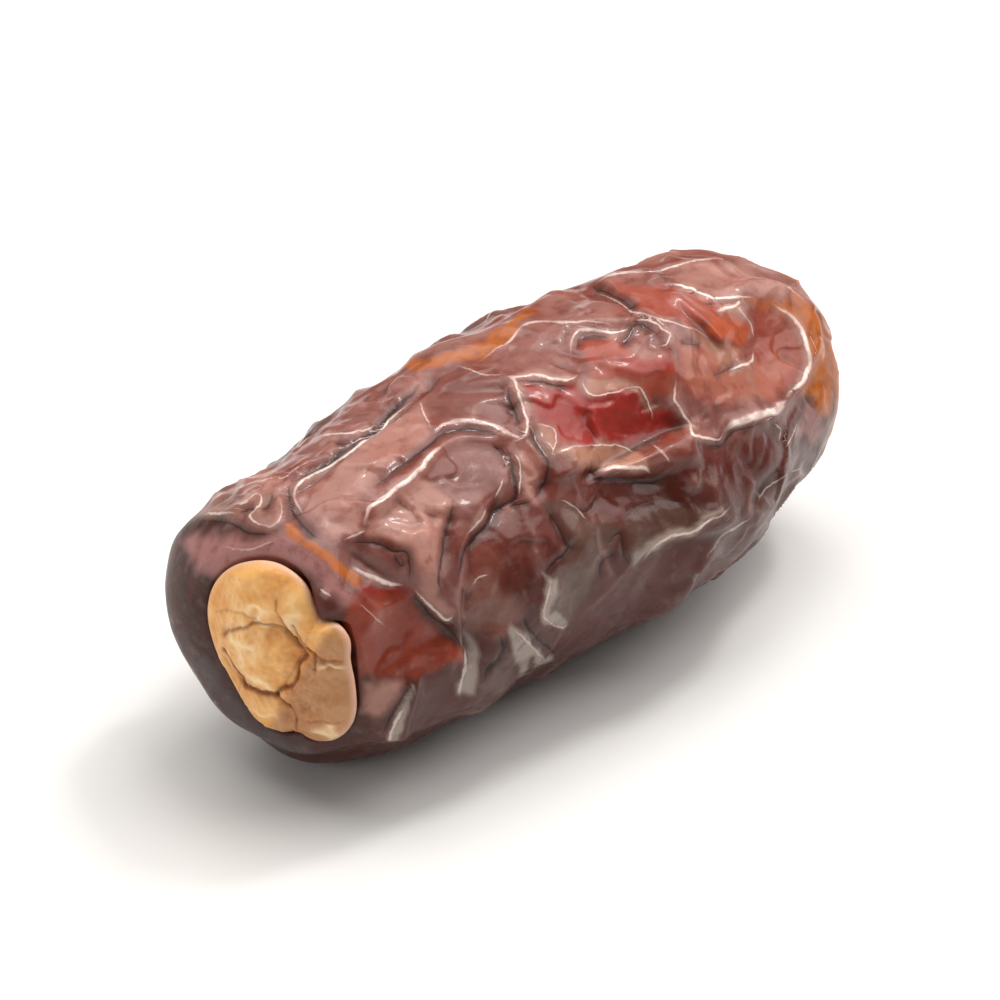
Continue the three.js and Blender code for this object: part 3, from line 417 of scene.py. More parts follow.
# Patches of one tint, with the same coordinates: soft is how far their border fades, in mm
patches = [
    {"name": "red hollow", "tint": "red", "strength": 1, "soft": 0.3,
     "seen": [[0.5, 6.7], [3.4, 6.7], [4, 6], [7, 6.3], [7.6, 5], [9, 5], [9.4, 3.9], [8, 3.6], [6, 3.4],
              [2.6, 3.2], [2.2, 4.4], [1, 4.4]]},
    {"name": "upper red", "tint": "rust", "strength": 0.9, "soft": 0.35,
     "seen": [[3.7, 9.4], [6, 9.2], [7, 8.4], [8.6, 8.4], [9.3, 7.8], [9.2, 6], [7.8, 6], [7, 7],
              [4.2, 7.1]]},
    {"name": "bright red in it", "tint": "red", "strength": 0.8, "soft": 0.3,
     "seen": [[6, 8.2], [8.8, 8.3], [9.2, 7.6], [7.4, 7.3], [5.8, 7.6]]},
    {"name": "band below the crown", "tint": "rust", "strength": 0.8, "soft": 0.3,
     "seen": [[5.5, 12.7], [8.5, 12.6], [10, 12.2], [11.5, 11.6], [12, 10.9], [10.5, 10.3], [8.5, 10.8],
              [6.4, 11.8]]},
    {"name": "orange in the loop", "tint": "orange", "strength": 0.95, "soft": 0.3,
     "seen": [[11.2, 10.9], [12.2, 11], [13.2, 10.6], [13.8, 9.9], [13.4, 9.2], [12.4, 9.2], [11.5, 9.9]]},
    {"name": "right part of the loop", "tint": "rust", "strength": 0.6, "soft": 0.4,
     "seen": [[14, 11.8], [15.2, 11.5], [16.4, 10.2], [17, 8.6], [16.6, 7], [15.2, 6], [14, 6.4],
              [14, 8.6]]},
    {"name": "lower part of the loop", "tint": "rust", "strength": 0.5, "soft": 0.4,
     "seen": [[9.5, 8.9], [10.8, 8.8], [12, 7.8], [13.8, 7.4], [13.8, 6], [12, 5.6], [10, 6], [9.5, 7]]},
    {"name": "tip", "tint": "amber", "strength": 1, "soft": 0.4,
     "seen": [[16.6, 12.2], [18.3, 11], [19.8, 8], [19.6, 5], [18, 5.2], [17, 6.4], [17.5, 8.2],
              [17.2, 10]]},
    {"name": "above the loop", "tint": "amber", "strength": 0.8, "soft": 0.4,
     "seen": [[13.6, 11.7], [15, 11.9], [16.6, 11.8], [17.4, 11.2], [17, 10.4], [16, 11], [15, 11.5]]},
    {"name": "streak on top", "tint": "amber", "strength": 0.85, "soft": 0.15,
     "seen": [[-7.5, 7.7], [-5.5, 7.5], [-3.4, 7.9], [-1.6, 8.5], [-0.4, 9.3], [0.4, 10.2], [1.1, 11.2],
              [0.3, 11.2], [-0.5, 10.2], [-1.8, 9.3], [-3.4, 8.7], [-5.5, 8.2], [-7.5, 8.1]]},
    {"name": "streak at the collar", "tint": "amber", "strength": 1, "soft": 0.1,
     "seen": [[-13.3, -1.5], [-12.9, -1.4], [-12.3, -1.9], [-11.3, -2.5], [-10.3, -2.9], [-9.8, -3.6],
              [-9.1, -4.4], [-8.9, -5.1], [-9.3, -5.3], [-9.9, -4.6], [-10.7, -3.7], [-11.6, -3],
              [-12.5, -2.4], [-13.2, -1.9]]},
    {"name": "red facet", "tint": "brick", "strength": 0.95, "soft": 0.25,
     "seen": [[-9.7, -6.1], [-9, -5.6], [-7.5, -5.4], [-6, -5.5], [-4.8, -6.9], [-3.4, -8.2], [-3.4, -9.1],
              [-5, -10], [-8, -10], [-9.1, -9.9], [-9.2, -8.4], [-9.8, -7.2]]},
    {"name": "red below the lip", "tint": "red", "strength": 1, "soft": 0.15,
     "seen": [[-9, -5.1], [-7.4, -5.2], [-6.1, -5.1], [-5.8, -5.6], [-4.3, -7.2], [-4.8, -7.3],
              [-6.2, -5.9], [-8.8, -5.5]]},
    {"name": "mauve plate", "tint": "mauve", "strength": 0.9, "soft": 0.2,
     "seen": [[-2.2, 7.7], [-1.2, 8.5], [-0.3, 9.2], [0.9, 10.2], [3, 10.2], [3, 8.2], [3.6, 7.4],
              [2.2, 7.2], [0.2, 7.3]]},
    {"name": "upper plate", "tint": "plum", "strength": 0.8, "soft": 0.3,
     "seen": [[-5.2, 7], [-3.5, 7.6], [-0.8, 7], [-0.5, 6], [0, 4.8], [0, 4], [-1.4, 4.4], [-3, 4.7],
              [-4.4, 4.4], [-5.3, 5.6]]},
    {"name": "plate beside the long crease", "tint": "rose", "strength": 0.6, "soft": 0.3,
     "seen": [[-12.4, 0.2], [-9.8, 2.4], [-7.6, 4.2], [-5.6, 5.6], [-4.8, 4], [-6.2, 2.6], [-8.2, 1.2],
              [-9, 0], [-9, -1.6], [-10.4, -2.2], [-12, -1]]},
    {"name": "finger plate", "tint": "rose", "strength": 0.8, "soft": 0.25,
     "seen": [[-8.3, -1.5], [-8, -0.4], [-6.3, 0.9], [-5.2, 1], [-4.3, 0.6], [-3.8, -0.2], [-4.2, -2.5],
              [-4.5, -5.4], [-3.8, -6.3], [-4.2, -6.7], [-5.6, -5.3], [-5.9, -3.2], [-7.2, -2.3],
              [-8.6, -2.1]]},
    {"name": "middle plate", "tint": "plum", "strength": 0.55, "soft": 0.25,
     "seen": [[-4.9, 1.9], [-4, 3.4], [-2.8, 3.9], [-1.4, 3.5], [-0.9, 2.4], [-1.2, 0.6], [-2, -0.6],
              [-2.9, -1.9], [-3.3, -0.8], [-3.8, 0.6], [-4.6, 1.2]]},
    {"name": "tab", "tint": "rose", "strength": 0.4, "soft": 0.15,
     "seen": [[0, 2.7], [1.1, 2.8], [1.7, 2], [1.1, 0.8], [0.8, 0], [0.3, -0.1]]},
    {"name": "small plate at the collar", "tint": "mauve", "strength": 0.6, "soft": 0.2,
     "seen": [[-9.6, -2.8], [-8, -2.7], [-7, -3.2], [-6.5, -4.2], [-7.6, -4.3], [-9, -3.9]]},
    {"name": "crinkled stem end", "tint": "rose", "strength": 0.5, "soft": 0.3,
     "seen": [[-18.6, -0.8], [-17.5, 1.2], [-14.5, 2], [-12.9, 1], [-13, -0.6], [-14, -1.7], [-16, -1.5]]},
    {"name": "left plates", "tint": "mauve", "strength": 0.5, "soft": 0.3,
     "seen": [[-14.5, 1.4], [-13, 3.2], [-9, 6.6], [-6, 7.6], [-5.6, 6.8], [-7.6, 5], [-9, 3.8], [-11, 2.2],
              [-12.6, 1.4]]},
    {"name": "crown", "tint": "rose", "strength": 0.5, "soft": 0.25,
     "seen": [[9, 13.2], [10.5, 12.7], [12, 12.2], [14, 12.2], [16.6, 12.2], [15.4, 13.3], [13, 14.2],
              [10.6, 14]]},
    {"name": "corner of the loop plate", "tint": "mauve", "strength": 0.8, "soft": 0.2,
     "seen": [[9.6, 6], [10.2, 5], [10.4, 4], [11.7, 3.8], [12.4, 4.6], [14, 5.2], [14.2, 6], [12, 5.8],
              [10.6, 6.2]]},
    {"name": "floor of the pocket", "tint": "sand", "strength": 0.7, "soft": 0.2,
     "seen": [[3.9, 7], [6.7, 7], [7.3, 6.4], [7.8, 5], [7.2, 5.8], [6, 6.2], [4.4, 6.1]]},
    {"name": "floor of the loop", "tint": "sand", "strength": 0.55, "soft": 0.35,
     "seen": [[9.7, 8.7], [11, 8.4], [13.6, 7.8], [15.6, 8.6], [16.4, 8], [15.8, 6.8], [14.4, 5.8],
              [12, 5.9], [10.2, 6.3]]},
    {"name": "patch inside the loop", "tint": "sand", "strength": 0.6, "soft": 0.25,
     "seen": [[10.4, 9.8], [11.7, 9.2], [13, 8.9], [13, 8.4], [12.2, 8], [11.2, 8.2], [10.8, 8.9]]},
    {"name": "hook of the curve below the crown", "tint": "sand", "strength": 0.7, "soft": 0.15,
     "seen": [[11.6, 11.1], [12.2, 11.7], [13.3, 11.8], [13.2, 11.2], [12.4, 11]]},
    {"name": "ledge", "tint": "sand", "strength": 0.9, "soft": 0.2,
     "seen": [[2, 2.8], [3.4, 3], [5.5, 3.1], [7, 2.8], [7.9, 1.6], [6.4, 1.8], [5.2, 1.6], [4.4, 1.7],
              [3.6, 2.2]]},
    {"name": "strip beside the tab", "tint": "sand", "strength": 0.6, "soft": 0.15,
     "seen": [[1, 4.3], [2.1, 4.2], [2.3, 3.3], [2, 2.2], [1.3, 3.1]]},
    {"name": "flank bar", "tint": "grey", "strength": 0.9, "soft": 0.25,
     "seen": [[1.4, -0.1], [2.5, 0], [3.5, -0.5], [4, -1.2], [5.4, -1.6], [7.4, -0.5], [8.2, -0.4], [6, -2],
              [4.8, -3.2], [4.2, -4.8], [3.2, -6.3], [3, -7.3], [2.4, -7.4], [1.6, -6.8], [2, -4.4],
              [3, -3], [2.7, -2], [2, -1]]},
    {"name": "bright edge of the flank bar", "tint": "silver", "strength": 0.8, "soft": 0.15,
     "seen": [[1.7, -4.4], [2.3, -4.6], [2.4, -5.6], [2.2, -6.6], [2.9, -7.1], [2.6, -7.5], [1.6, -7],
              [1.6, -5.8]]},
    {"name": "bright edge of the low patch", "tint": "silver", "strength": 0.7, "soft": 0.15,
     "seen": [[7, -3.9], [7.6, -3.1], [8.6, -2.4], [10, -2.1], [11, -1.4], [12.6, -0.4], [11.6, -0.7],
              [10.3, -1.4], [8.8, -1.8], [7.6, -2.4], [6.8, -3.4]]},
    {"name": "orange in the facet", "tint": "orange", "strength": 0.55, "soft": 0.4,
     "seen": [[-6.2, -7], [-4.6, -7.5], [-3.4, -8.4], [-3.5, -9.2], [-5.4, -9.6], [-6.8, -8.8]]},
    {"name": "lilac end of the tip", "tint": "lilac", "strength": 0.6, "soft": 0.3,
     "seen": [[17, 5.4], [18.3, 5.4], [18.2, 4], [17.4, 3.3], [16.8, 4]]},
    {"name": "low patch", "tint": "grey", "strength": 0.7, "soft": 0.25,
     "seen": [[6.2, -1.5], [7, -0.5], [8.5, -0.2], [10.3, -0.6], [11, -1], [9.9, -1.8], [8.5, -2.1],
              [7.6, -2.9], [7, -3.8], [6.4, -3.6]]},
    {"name": "low patch to the tip", "tint": "grey", "strength": 0.6, "soft": 0.2,
     "seen": [[10.9, -3.5], [11.5, -2.7], [12.2, -1.8], [13.8, -0.8], [14.6, 0.6], [15, -1], [14.4, -2],
              [13.3, -2], [12.2, -2.3], [11.4, -3.3]]},
    {"name": "left finger", "tint": "silver", "strength": 0.85, "soft": 0.2,
     "seen": [[-2.9, -7.6], [-2.4, -9], [-2.2, -10.2], [-2.4, -11], [-3.4, -11.3], [-3.5, -10.6],
              [-3, -9.5], [-3.2, -8.2]]},
    {"name": "middle finger", "tint": "grey", "strength": 0.7, "soft": 0.2,
     "seen": [[-1.4, -9.8], [-1.9, -11.2], [-0.6, -11.7], [-0.1, -10.5], [-0.2, -9.6], [-0.8, -9.9]]},
    {"name": "right finger", "tint": "silver", "strength": 0.85, "soft": 0.15,
     "seen": [[-0.6, -7], [0.4, -7.9], [1.3, -8.9], [2.5, -9.7], [1.8, -10], [0.7, -9.2], [0.7, -10.9],
              [0.2, -10.5], [0, -9.2], [-0.5, -8.2]]},
    {"name": "palm of the fingers", "tint": "rose", "strength": 0.35, "soft": 0.5,
     "seen": [[-3.2, -4.4], [-1.6, -4.2], [-0.4, -5.4], [0.2, -6.6], [-0.4, -7.6], [-1.2, -7.8],
              [-2.8, -7.8], [-3.3, -6]]},
    {"name": "shoulder streak", "tint": "silver", "strength": 0.9, "soft": 0.12,
     "seen": [[-5.8, -10.4], [-6.1, -12], [-6.8, -13.4], [-7.1, -15], [-7.8, -15], [-7.5, -13.4],
              [-6.7, -11.8]]},
    {"name": "below the facet", "tint": "rose", "strength": 0.9, "soft": 0.35,
     "seen": [[-9, -10.3], [-6.5, -10.2], [-6.6, -11.4], [-7.6, -12.4], [-9, -12.2]]},
    {"name": "flank facet", "tint": "shade", "strength": 0.75, "soft": 0.3,
     "seen": [[-1.4, -0.8], [0, -0.5], [1.4, -0.2], [2.1, -1.2], [2.9, -2.8], [2, -4], [1.6, -5],
              [1.2, -6.4], [0.3, -5.6], [-0.4, -4.2], [-1.2, -2.8], [-2.2, -2.2]]},
    {"name": "below the ledge", "tint": "shade", "strength": 0.75, "soft": 0.4,
     "seen": [[2, 1.8], [4, 1.3], [8, 1.2], [9.4, 2.2], [10.2, 3.3], [12, 3], [13.6, 4.2], [15.4, 4],
              [17, 2.6], [14, 1], [12, 0], [9, 0.2], [7, -0.2], [5, -1.2], [4, -0.8], [2.4, 0.4]]},
    {"name": "beside the fingers", "tint": "shade", "strength": 0.8, "soft": 0.4,
     "seen": [[3.2, -6], [4.2, -5], [5.2, -3.4], [6.2, -4], [8, -3.2], [10, -2.2], [12, -3.4], [9, -6],
              [5, -9.5], [2.6, -10.2], [2.8, -9.4], [1, -7.4], [0.6, -6.6], [1.4, -6.9], [3, -7.6]]},
    {"name": "beside the finger plate", "tint": "shade", "strength": 0.5, "soft": 0.2,
     "seen": [[-3.9, -1.6], [-3.4, -2], [-3.1, -3.2], [-3.3, -5], [-3.6, -6.2], [-4.3, -5.6],
              [-4.3, -3.4]]},
    {"name": "crevice beside the calyx", "tint": "shade", "strength": 0.9, "soft": 0.2,
     "seen": [[-13.6, -3.3], [-12.6, -3.6], [-11.6, -4.4], [-10.9, -5.4], [-10.2, -6.3], [-10.7, -6.7],
              [-11.6, -6], [-12.4, -4.8]]},
    {"name": "lip of the collar", "tint": "lilac", "strength": 0.85, "soft": 0.45,
     "seen": [[-19.2, -2.2], [-17, -2], [-15.5, -2.3], [-13.9, -2], [-12.8, -2.2], [-11.7, -3],
              [-10.7, -4.1], [-9.9, -5.1], [-9.1, -5.8], [-9.8, -6.2], [-10.8, -5.2], [-11.5, -4.2],
              [-12.6, -3.7], [-14, -3.7], [-16, -4], [-18.3, -4.4]]},
    {"name": "sheen below the calyx", "tint": "steel", "strength": 0.9, "soft": 0.4,
     "seen": [[-18.9, -9.6], [-17.7, -9.2], [-16.8, -10.8], [-15.8, -12.1], [-14.8, -13.3], [-13, -13.8],
              [-11.6, -14], [-11.8, -14.6], [-13.4, -14.9], [-15.4, -14.4], [-17, -13.3], [-18.3, -11.6]]},
]

# Wide smooth hollows: mm along x, degrees round, reach along and across in mm, and depth in mm
hollows = [
    {"name": "facet at the collar", "x": -17.2, "angle": 76, "reach": [2.6, 3.4], "depth": 0.9},
    {"name": "bowl in the tip loop", "x": 14, "angle": 36, "reach": [3.6, 4.2], "depth": 0.55},
    {"name": "hollow above the ledge", "x": 3.2, "angle": 49, "reach": [3.4, 2.7], "depth": 0.3},
    {"name": "hollow behind the lip in the loop", "x": 13.5, "angle": 14, "reach": [1.4, 1.4], "depth": 0.4},
    {"name": "crown", "x": 19.5, "angle": -12, "reach": [4, 5], "depth": -0.9},
    {"name": "slim side of the tip", "x": 15, "angle": 135, "reach": [7, 5], "depth": 0.9},
    {"name": "full end of the tip", "x": 21, "angle": 56, "reach": [3.5, 5.5], "depth": -1.2},
    {"name": "slim back of the stem end", "x": -11, "angle": -42, "reach": [9, 7], "depth": 1.0},
    {"name": "full left side of the collar", "x": -20, "angle": -75, "reach": [5, 6], "depth": -0.6},
    {"name": "slim underside of the collar", "x": -20.5, "angle": 165, "reach": [6, 6], "depth": 1.6},
]

# Hollows that sink from one angle to another and end in a step: mm along x, degrees round, depth in mm
scoops = [
    {"name": "red hollow", "x": 2.6, "reach": 4.2, "from": 22, "to": 51, "step": 5, "depth": 1.7},
]

# The rolled lip round the upper right of the calyx: mm beyond the calyx's edge, and degrees round it
lip = {"beyond": 1.3, "width": 0.6, "height": 0.4, "middle": 10, "halfTurn": 85}


def meridian(count=400):
    # Outline as a polar superellipse |cos/a|^n + |sin/b|^n = rho^-n, n going from the stem's to the tip's
    psi = np.linspace(0, np.pi, count)
    n = fruit["stemRoundness"] + (fruit["tipRoundness"] - fruit["stemRoundness"]) * smooth(0.5, 2.6, psi)
    rho = (np.abs(np.cos(psi) / half) ** n + np.abs(np.sin(psi) / fruit["radius"]) ** n) ** (-1 / n)
    x = -rho * np.cos(psi)
    slim = np.clip((fruit["taperStart"] - x) / (half + fruit["taperStart"]), 0, None)
    r = rho * np.sin(psi) * (1 - fruit["stemTaper"] * slim ** 2)
    return x, r, np.concatenate([[0], np.cumsum(np.hypot(np.diff(x), np.diff(r)))])


outlineX, outlineR, outlineWalk = meridian()


def spineHeight(x):  # the middle line sinks with the square of x towards both ends
    share = np.where(x < 0, 1.0, fruit["tipDroopShare"])
    return -fruit["droop"] * share * (x / half) ** 2


def bodyPoint(x, r, angle):
    # Section r (1 + oval + three-sided part) at angle, on the middle line: (x, -r sin, r cos + spine)
    oval, corners = fruit["oval"], fruit["threeSided"]
    section = 1 + oval["share"] * np.cos(2 * angle + oval["turn"] + oval["twist"] * x)
    section = section + corners["share"] * np.cos(3 * angle - corners["twist"] * x + corners["turn"])
    return np.stack([x, -r * section * np.sin(angle), r * section * np.cos(angle) + spineHeight(x)], -1)


def onBody(x, degrees):  # the smooth body's point at x and an angle round it
    x = np.asarray(x, float)
    return bodyPoint(x, np.interp(x, outlineX, outlineR), np.radians(degrees))


def unevenly(p, name):  # from 0 to 1 over the skin, by its swells
    kind = uneven[name]
    return smooth(kind["from"], kind["to"], swell(p, kind["over"], kind["channel"]))


def frontness(out):  # 1 on the side with the drawn folds, 0 behind
    return smooth(-0.35, 0.5, out @ np.array([-0.3, -0.75, 0.6]))


def outward(p):  # away from the nearest point of the middle line, which is cut short at both ends
    core = np.clip(p[:, 0], -half + fruit["stemCore"], half - fruit["tipCore"])
    return unit(p - np.stack([core, 0 * core, spineHeight(core)], -1))


def plateMiddles(count, channel, wander):  # golden-angle spiral over the body, each moved by drawn amounts
    i = np.arange(count)
    x = -half + 2 * half * (i + 0.5 + wander * (draw(i, channel) - 0.5)) / count
    angle = i * np.pi * (3 - np.sqrt(5)) + wander * 0.9 * (draw(i, channel + 1) - 0.5)
    return onBody(x, np.degrees(angle))


def onPlates(p, middles, blend, chunk=6000):
    # Distance to the border between nearest middles, (d2^2 - d1^2) / 2|m2 - m1|, and the plates' heights
    # blended there with weights exp(-(d^2 - d1^2) / 2 blend^2)
    stretch = np.array([fruit["plateStretch"], 1, 1])
    m = middles * stretch
    between = np.linalg.norm(m[:, None] - m[None], axis=2) + 1e-6
    i = np.arange(len(m))
    lift = draw(i, 31) - 0.5
    tilt = np.stack([draw(i, 32), draw(i, 33), draw(i, 34)], -1) - 0.5
    edge = np.empty(len(p))
    height = np.empty(len(p))
    for start in range(0, len(p), chunk):
        part = slice(start, start + chunk)
        q = p[part] * stretch
        d2 = (q ** 2).sum(1)[:, None] + (m ** 2).sum(1)[None] - 2 * q @ m.T
        nearest = d2.argmin(1)
        beyond = d2 - d2[np.arange(len(q)), nearest][:, None]
        gap = beyond / (2 * between[nearest])
        gap[np.arange(len(q)), nearest] = 1e9
        edge[part] = gap.min(1)
        weight = np.exp(-beyond / (2 * blend ** 2))
        slope = p[part] @ tilt.T - (middles * tilt).sum(1)[None]
        height[part] = (weight * (lift[None] + fruit["plateTilt"] * slope)).sum(1) / weight.sum(1)
    return edge, height


def smoothPath(path, steps=4):  # Catmull-Rom points through the path
    p = np.array(path, float)
    q = np.vstack([2 * p[0] - p[1], p, 2 * p[-1] - p[-2]])
    t = (np.arange(steps) / steps)[None, :, None]
    a, b, c, d = [q[k:len(q) - 3 + k, None] for k in range(4)]
    bend = (2 * a - 5 * b + 4 * c - d) * t ** 2 + (3 * b - a - 3 * c + d) * t ** 3
    return np.vstack([(0.5 * (2 * b + (c - a) * t + bend)).reshape(-1, 2), p[-1]])


def profile(d, width):
    # A side's height away from the crest: exp(-(d / reach)^power) where it's steep, and
    # exp(-(d / (share of width))^2) where the plate runs down slowly
    steep = np.exp(-(d / fruit["steepReach"]) ** fruit["steepPower"])
    slow = np.exp(-(d / (fruit["slowShare"] * width)) ** 2)
    return np.where(width >= fruit["slowFrom"], slow, steep)


def underFold(p, out, fold):
    # Height from the distance to the fold's curve by the side's profile, with tapered ends, and its cover
    line = smoothPath(fold["path"])
    line = onBody(line[:, 0], line[:, 1])
    a, piece = line[:-1], np.diff(line, axis=0)
    tooFar = 7  # mm
    near = np.nonzero(((p[:, None] - line[None, ::3]) ** 2).sum(-1).min(1) < tooFar ** 2)[0]
    best = np.full(len(near), 1e9)
    side = np.zeros(len(near))
    along = np.zeros(len(near))
    for k in range(len(a)):
        t = np.clip((p[near] - a[k]) @ piece[k] / (piece[k] @ piece[k]), 0, 1)
        off = p[near] - a[k] - t[:, None] * piece[k]
        d = np.linalg.norm(off, axis=1)
        closer = d < best
        best[closer] = d[closer]
        side[closer] = (np.cross(piece[k], off) * out[near]).sum(1)[closer]
        along[closer] = ((k + t) / len(a))[closer]
    width = np.where(side > 0, fold["widths"][0], fold["widths"][1])
    ends = taper(1, along, fruit["foldTaper"])
    share = fruit["ridgeShare"] if fold["height"] > 0 else fruit["creaseShare"]
    height = np.zeros(len(p))
    height[near] = share * fold["height"] * profile(best, width) * ends
    cover = np.zeros(len(p))
    cover[near] = np.exp(-(best / fruit["foldCover"]) ** 2) * np.minimum(ends * 2, 1)
    return height, cover


def skin(p, out):
    # A net of raised borders round dished plates, a finer net in patches, the folds, and two low swells
    middles = plateMiddles(net["plates"], 5, net["wander"])
    edge, plate = onPlates(driftBy(p, net["bends"], 1), middles, net["blend"])
    strength = net["more"] * unevenly(p, "borders") - net["less"] * unevenly(p, "fewerBorders")
    crest = 0
    for share, width in (net["wideBorder"], net["sharpBorder"]):
        crest += share * np.exp(-edge / width)
    depth, width = net["dish"]
    relief = net["rise"] * crest * strength - depth * (1 - np.exp(-edge / width)) + net["step"] * plate
    moved = driftBy(p, fineNet["bends"], 3)
    middles = plateMiddles(fineNet["plates"], 6, fineNet["wander"])
    fineEdge, finePlate = onPlates(moved, middles, fineNet["blend"])
    facet = onPlates(moved, plateMiddles(facets["plates"], 7, facets["wander"]), facets["blend"])[1]
    crinkled = (p - onBody(crinkles["x"], crinkles["angle"])) / np.array(crinkles["reach"])
    crinkle = np.exp(-(crinkled ** 2).sum(1))
    patch = np.maximum(unevenly(p, "finerNet"), 2 * crinkle)
    height, width = fineNet["border"]
    fine = patch * (height * np.exp(-fineEdge / width) + fineNet["step"] * finePlate)
    folded = np.zeros(len(p))
    for k, (height, size) in enumerate(lowSwells):
        folded += height * swell(p, size, 50 + k)
    raised = np.zeros(len(p))
    lowered = np.zeros(len(p))
    cover = np.zeros(len(p))
    for fold in folds:
        height, covered = underFold(p, out, fold)
        raised += np.clip(height, 0, None) ** 3
        lowered = np.minimum(lowered, height)
        cover = np.maximum(cover, covered)
    folded += np.cbrt(raised) + lowered  # meeting ridges share one level
    for hollow in hollows:
        middle = onBody(hollow["x"], hollow["angle"])
        off = (p - middle) ** 2
        folded -= hollow["depth"] * np.exp(-off[:, 0] / hollow["reach"][0] ** 2
                                           - (off[:, 1] + off[:, 2]) / hollow["reach"][1] ** 2)
    degrees = np.degrees(np.arctan2(-p[:, 1], p[:, 2] - spineHeight(p[:, 0])))
    for scoop in scoops:
        sinking = smooth(scoop["from"], scoop["to"], degrees)
        sunk = sinking * smooth(scoop["to"] + scoop["step"], scoop["to"], degrees)
        folded -= scoop["depth"] * sunk * np.exp(-((p[:, 0] - scoop["x"]) / scoop["reach"]) ** 4)
    front = frontness(out)
    relief = relief * (1 - net["frontCalm"] * front) * (1 - net["foldCalm"] * cover)
    fine = fine * (1 - fineNet["foldCalm"] * cover) * (1 - fineNet["frontCalm"] * front * (1 - crinkle))
    relief += fine + facets["step"] * facet
    # The net's borders, which get a painted highlight
    crest = 0.7 * crest * np.clip(strength, 0, 1) * (1 - cover)
    return relief, folded, crest


def seenFrom(p, out):  # a point's mm right and up in the front view, and how far it faces the viewer
    return np.stack([p @ viewRight, p @ viewUp], -1), smooth(*fading["patches"], out @ viewBack)


def facingWell(v, out):
    # How far the folded skin faces the viewer, from the grid's own slopes: lines drawn in the front view
    # would smear where it turns away
    rings = v[:-2].reshape(fruit["rows"] - 1, fruit["columns"], 3)
    slope = unit(np.cross(np.gradient(rings, axis=0), np.roll(rings, -1, 1) - np.roll(rings, 1, 1)))
    slope = np.vstack([slope.reshape(-1, 3), out[-2:]])
    slope *= np.sign((slope * out).sum(1))[:, None]
    return smooth(*fading["lines"], out @ viewBack) * smooth(*fading["slopes"], slope @ viewBack)


def besideLine(seen, line):
    # Points within reach of a line's box, with their distance to it, their side, and their place along it
    reach = 0.9  # mm
    path = smoothPath(line["seen"])
    near = np.nonzero(((seen > path.min(0) - reach) & (seen < path.max(0) + reach)).all(1))[0]
    a, step = path[:-1], np.diff(path, axis=0)
    off = seen[near][:, None] - a
    t = np.clip((off * step).sum(-1) / (step ** 2).sum(-1), 0, 1)
    off -= t[..., None] * step
    distance = np.linalg.norm(off, axis=2)
    k = distance.argmin(1)
    each = np.arange(len(near))
    side = np.sign(step[k, 0] * off[each, k, 1] - step[k, 1] * off[each, k, 0])
    return near, distance[each, k], side, (k + t[each, k]) / len(a)


def markLines(seen, facing, marks):
    # The nearest line's nearness exp(-(d / near)^2), and its signed distance, width and strength times
    # that. The strength fades at the line's ends, and where another line is as near.
    ends = lineShape["endWidth"]
    first = np.full(len(seen), 9.0)
    second = np.full(len(seen), 9.0)
    signed, width, strength = np.zeros((3, len(seen)))
    for line in marks:
        near, distance, side, along = besideLine(seen, line)
        closer = distance < first[near]
        second[near] = np.where(closer, first[near], np.minimum(second[near], distance))
        near, distance, side, along = near[closer], distance[closer], side[closer], along[closer]
        first[near] = distance
        signed[near] = distance * side
        width[near] = line["width"] * (ends + taper(1 - ends, along, lineShape["widen"]))
        strength[near] = taper(line["strength"], along, lineShape["strengthen"])
    alone = smooth(0, lineShape["apart"], second - first)
    strength = strength * facing * np.maximum(alone, smooth(*lineShape["onIt"], first))
    nearness = np.exp(-(first / lineShape["near"]) ** 2)
    relief = strength * np.exp(-(first / lineShape["reliefReach"]) ** 2)
    return {"Near": nearness, "Signed": nearness * signed, "Width": nearness * width,
            "Strength": nearness * strength}, relief


def insideOf(seen, corners):
    # mm inside an outline, negative outside: the distance to its sides, signed by a level ray's crossings
    a = np.array(corners, float)
    step = np.roll(a, -1, 0) - a
    off = seen[:, None] - a
    t = np.clip((off * step).sum(-1) / (step ** 2).sum(-1), 0, 1)
    distance = np.linalg.norm(off - t[..., None] * step, axis=2).min(1)
    over = (off[..., 1] < 0) != (off[..., 1] < step[:, 1])
    crossings = over & (off[..., 0] < step[:, 0] * off[..., 1] / np.where(step[:, 1] == 0, 1e-9, step[:, 1]))
    return np.where(crossings.sum(1) % 2 == 1, distance, -distance)


def markPatches(seen, facing, p):
    # Each tint's mask: the strongest of its patches, faded over a soft border that swells make uneven
    masks = {patch["tint"]: np.zeros(len(seen)) for patch in patches}
    (far, size), (less, finer) = patchShake
    shake = np.stack([far * swell(p, size, 70 + k) + less * swell(p, finer, 75 + k) for k in range(2)], -1)
    for patch in patches:
        corners = np.array(patch["seen"], float)
        inBox = ((seen > corners.min(0) - 1) & (seen < corners.max(0) + 1)).all(1)
        near = np.nonzero(inBox & (facing > 0))[0]
        inside = insideOf(seen[near] + shake[near], corners)
        mask = patch["strength"] * smooth(-patch["soft"], patch["soft"], inside) * facing[near]
        masks[patch["tint"]][near] = np.maximum(masks[patch["tint"]][near], mask)
    return masks


def relax(points, share, passes):
    # Moves each point by share of the way to the mean of its four neighbours on the grid, ring by ring
    for _ in range(passes):
        mean = (np.roll(points, 1, 1) + np.roll(points, -1, 1)) / 2
        mean[1:-1] = mean[1:-1] / 2 + (points[:-2] + points[2:]) / 4
        points = points + share * (mean - points)
    return points


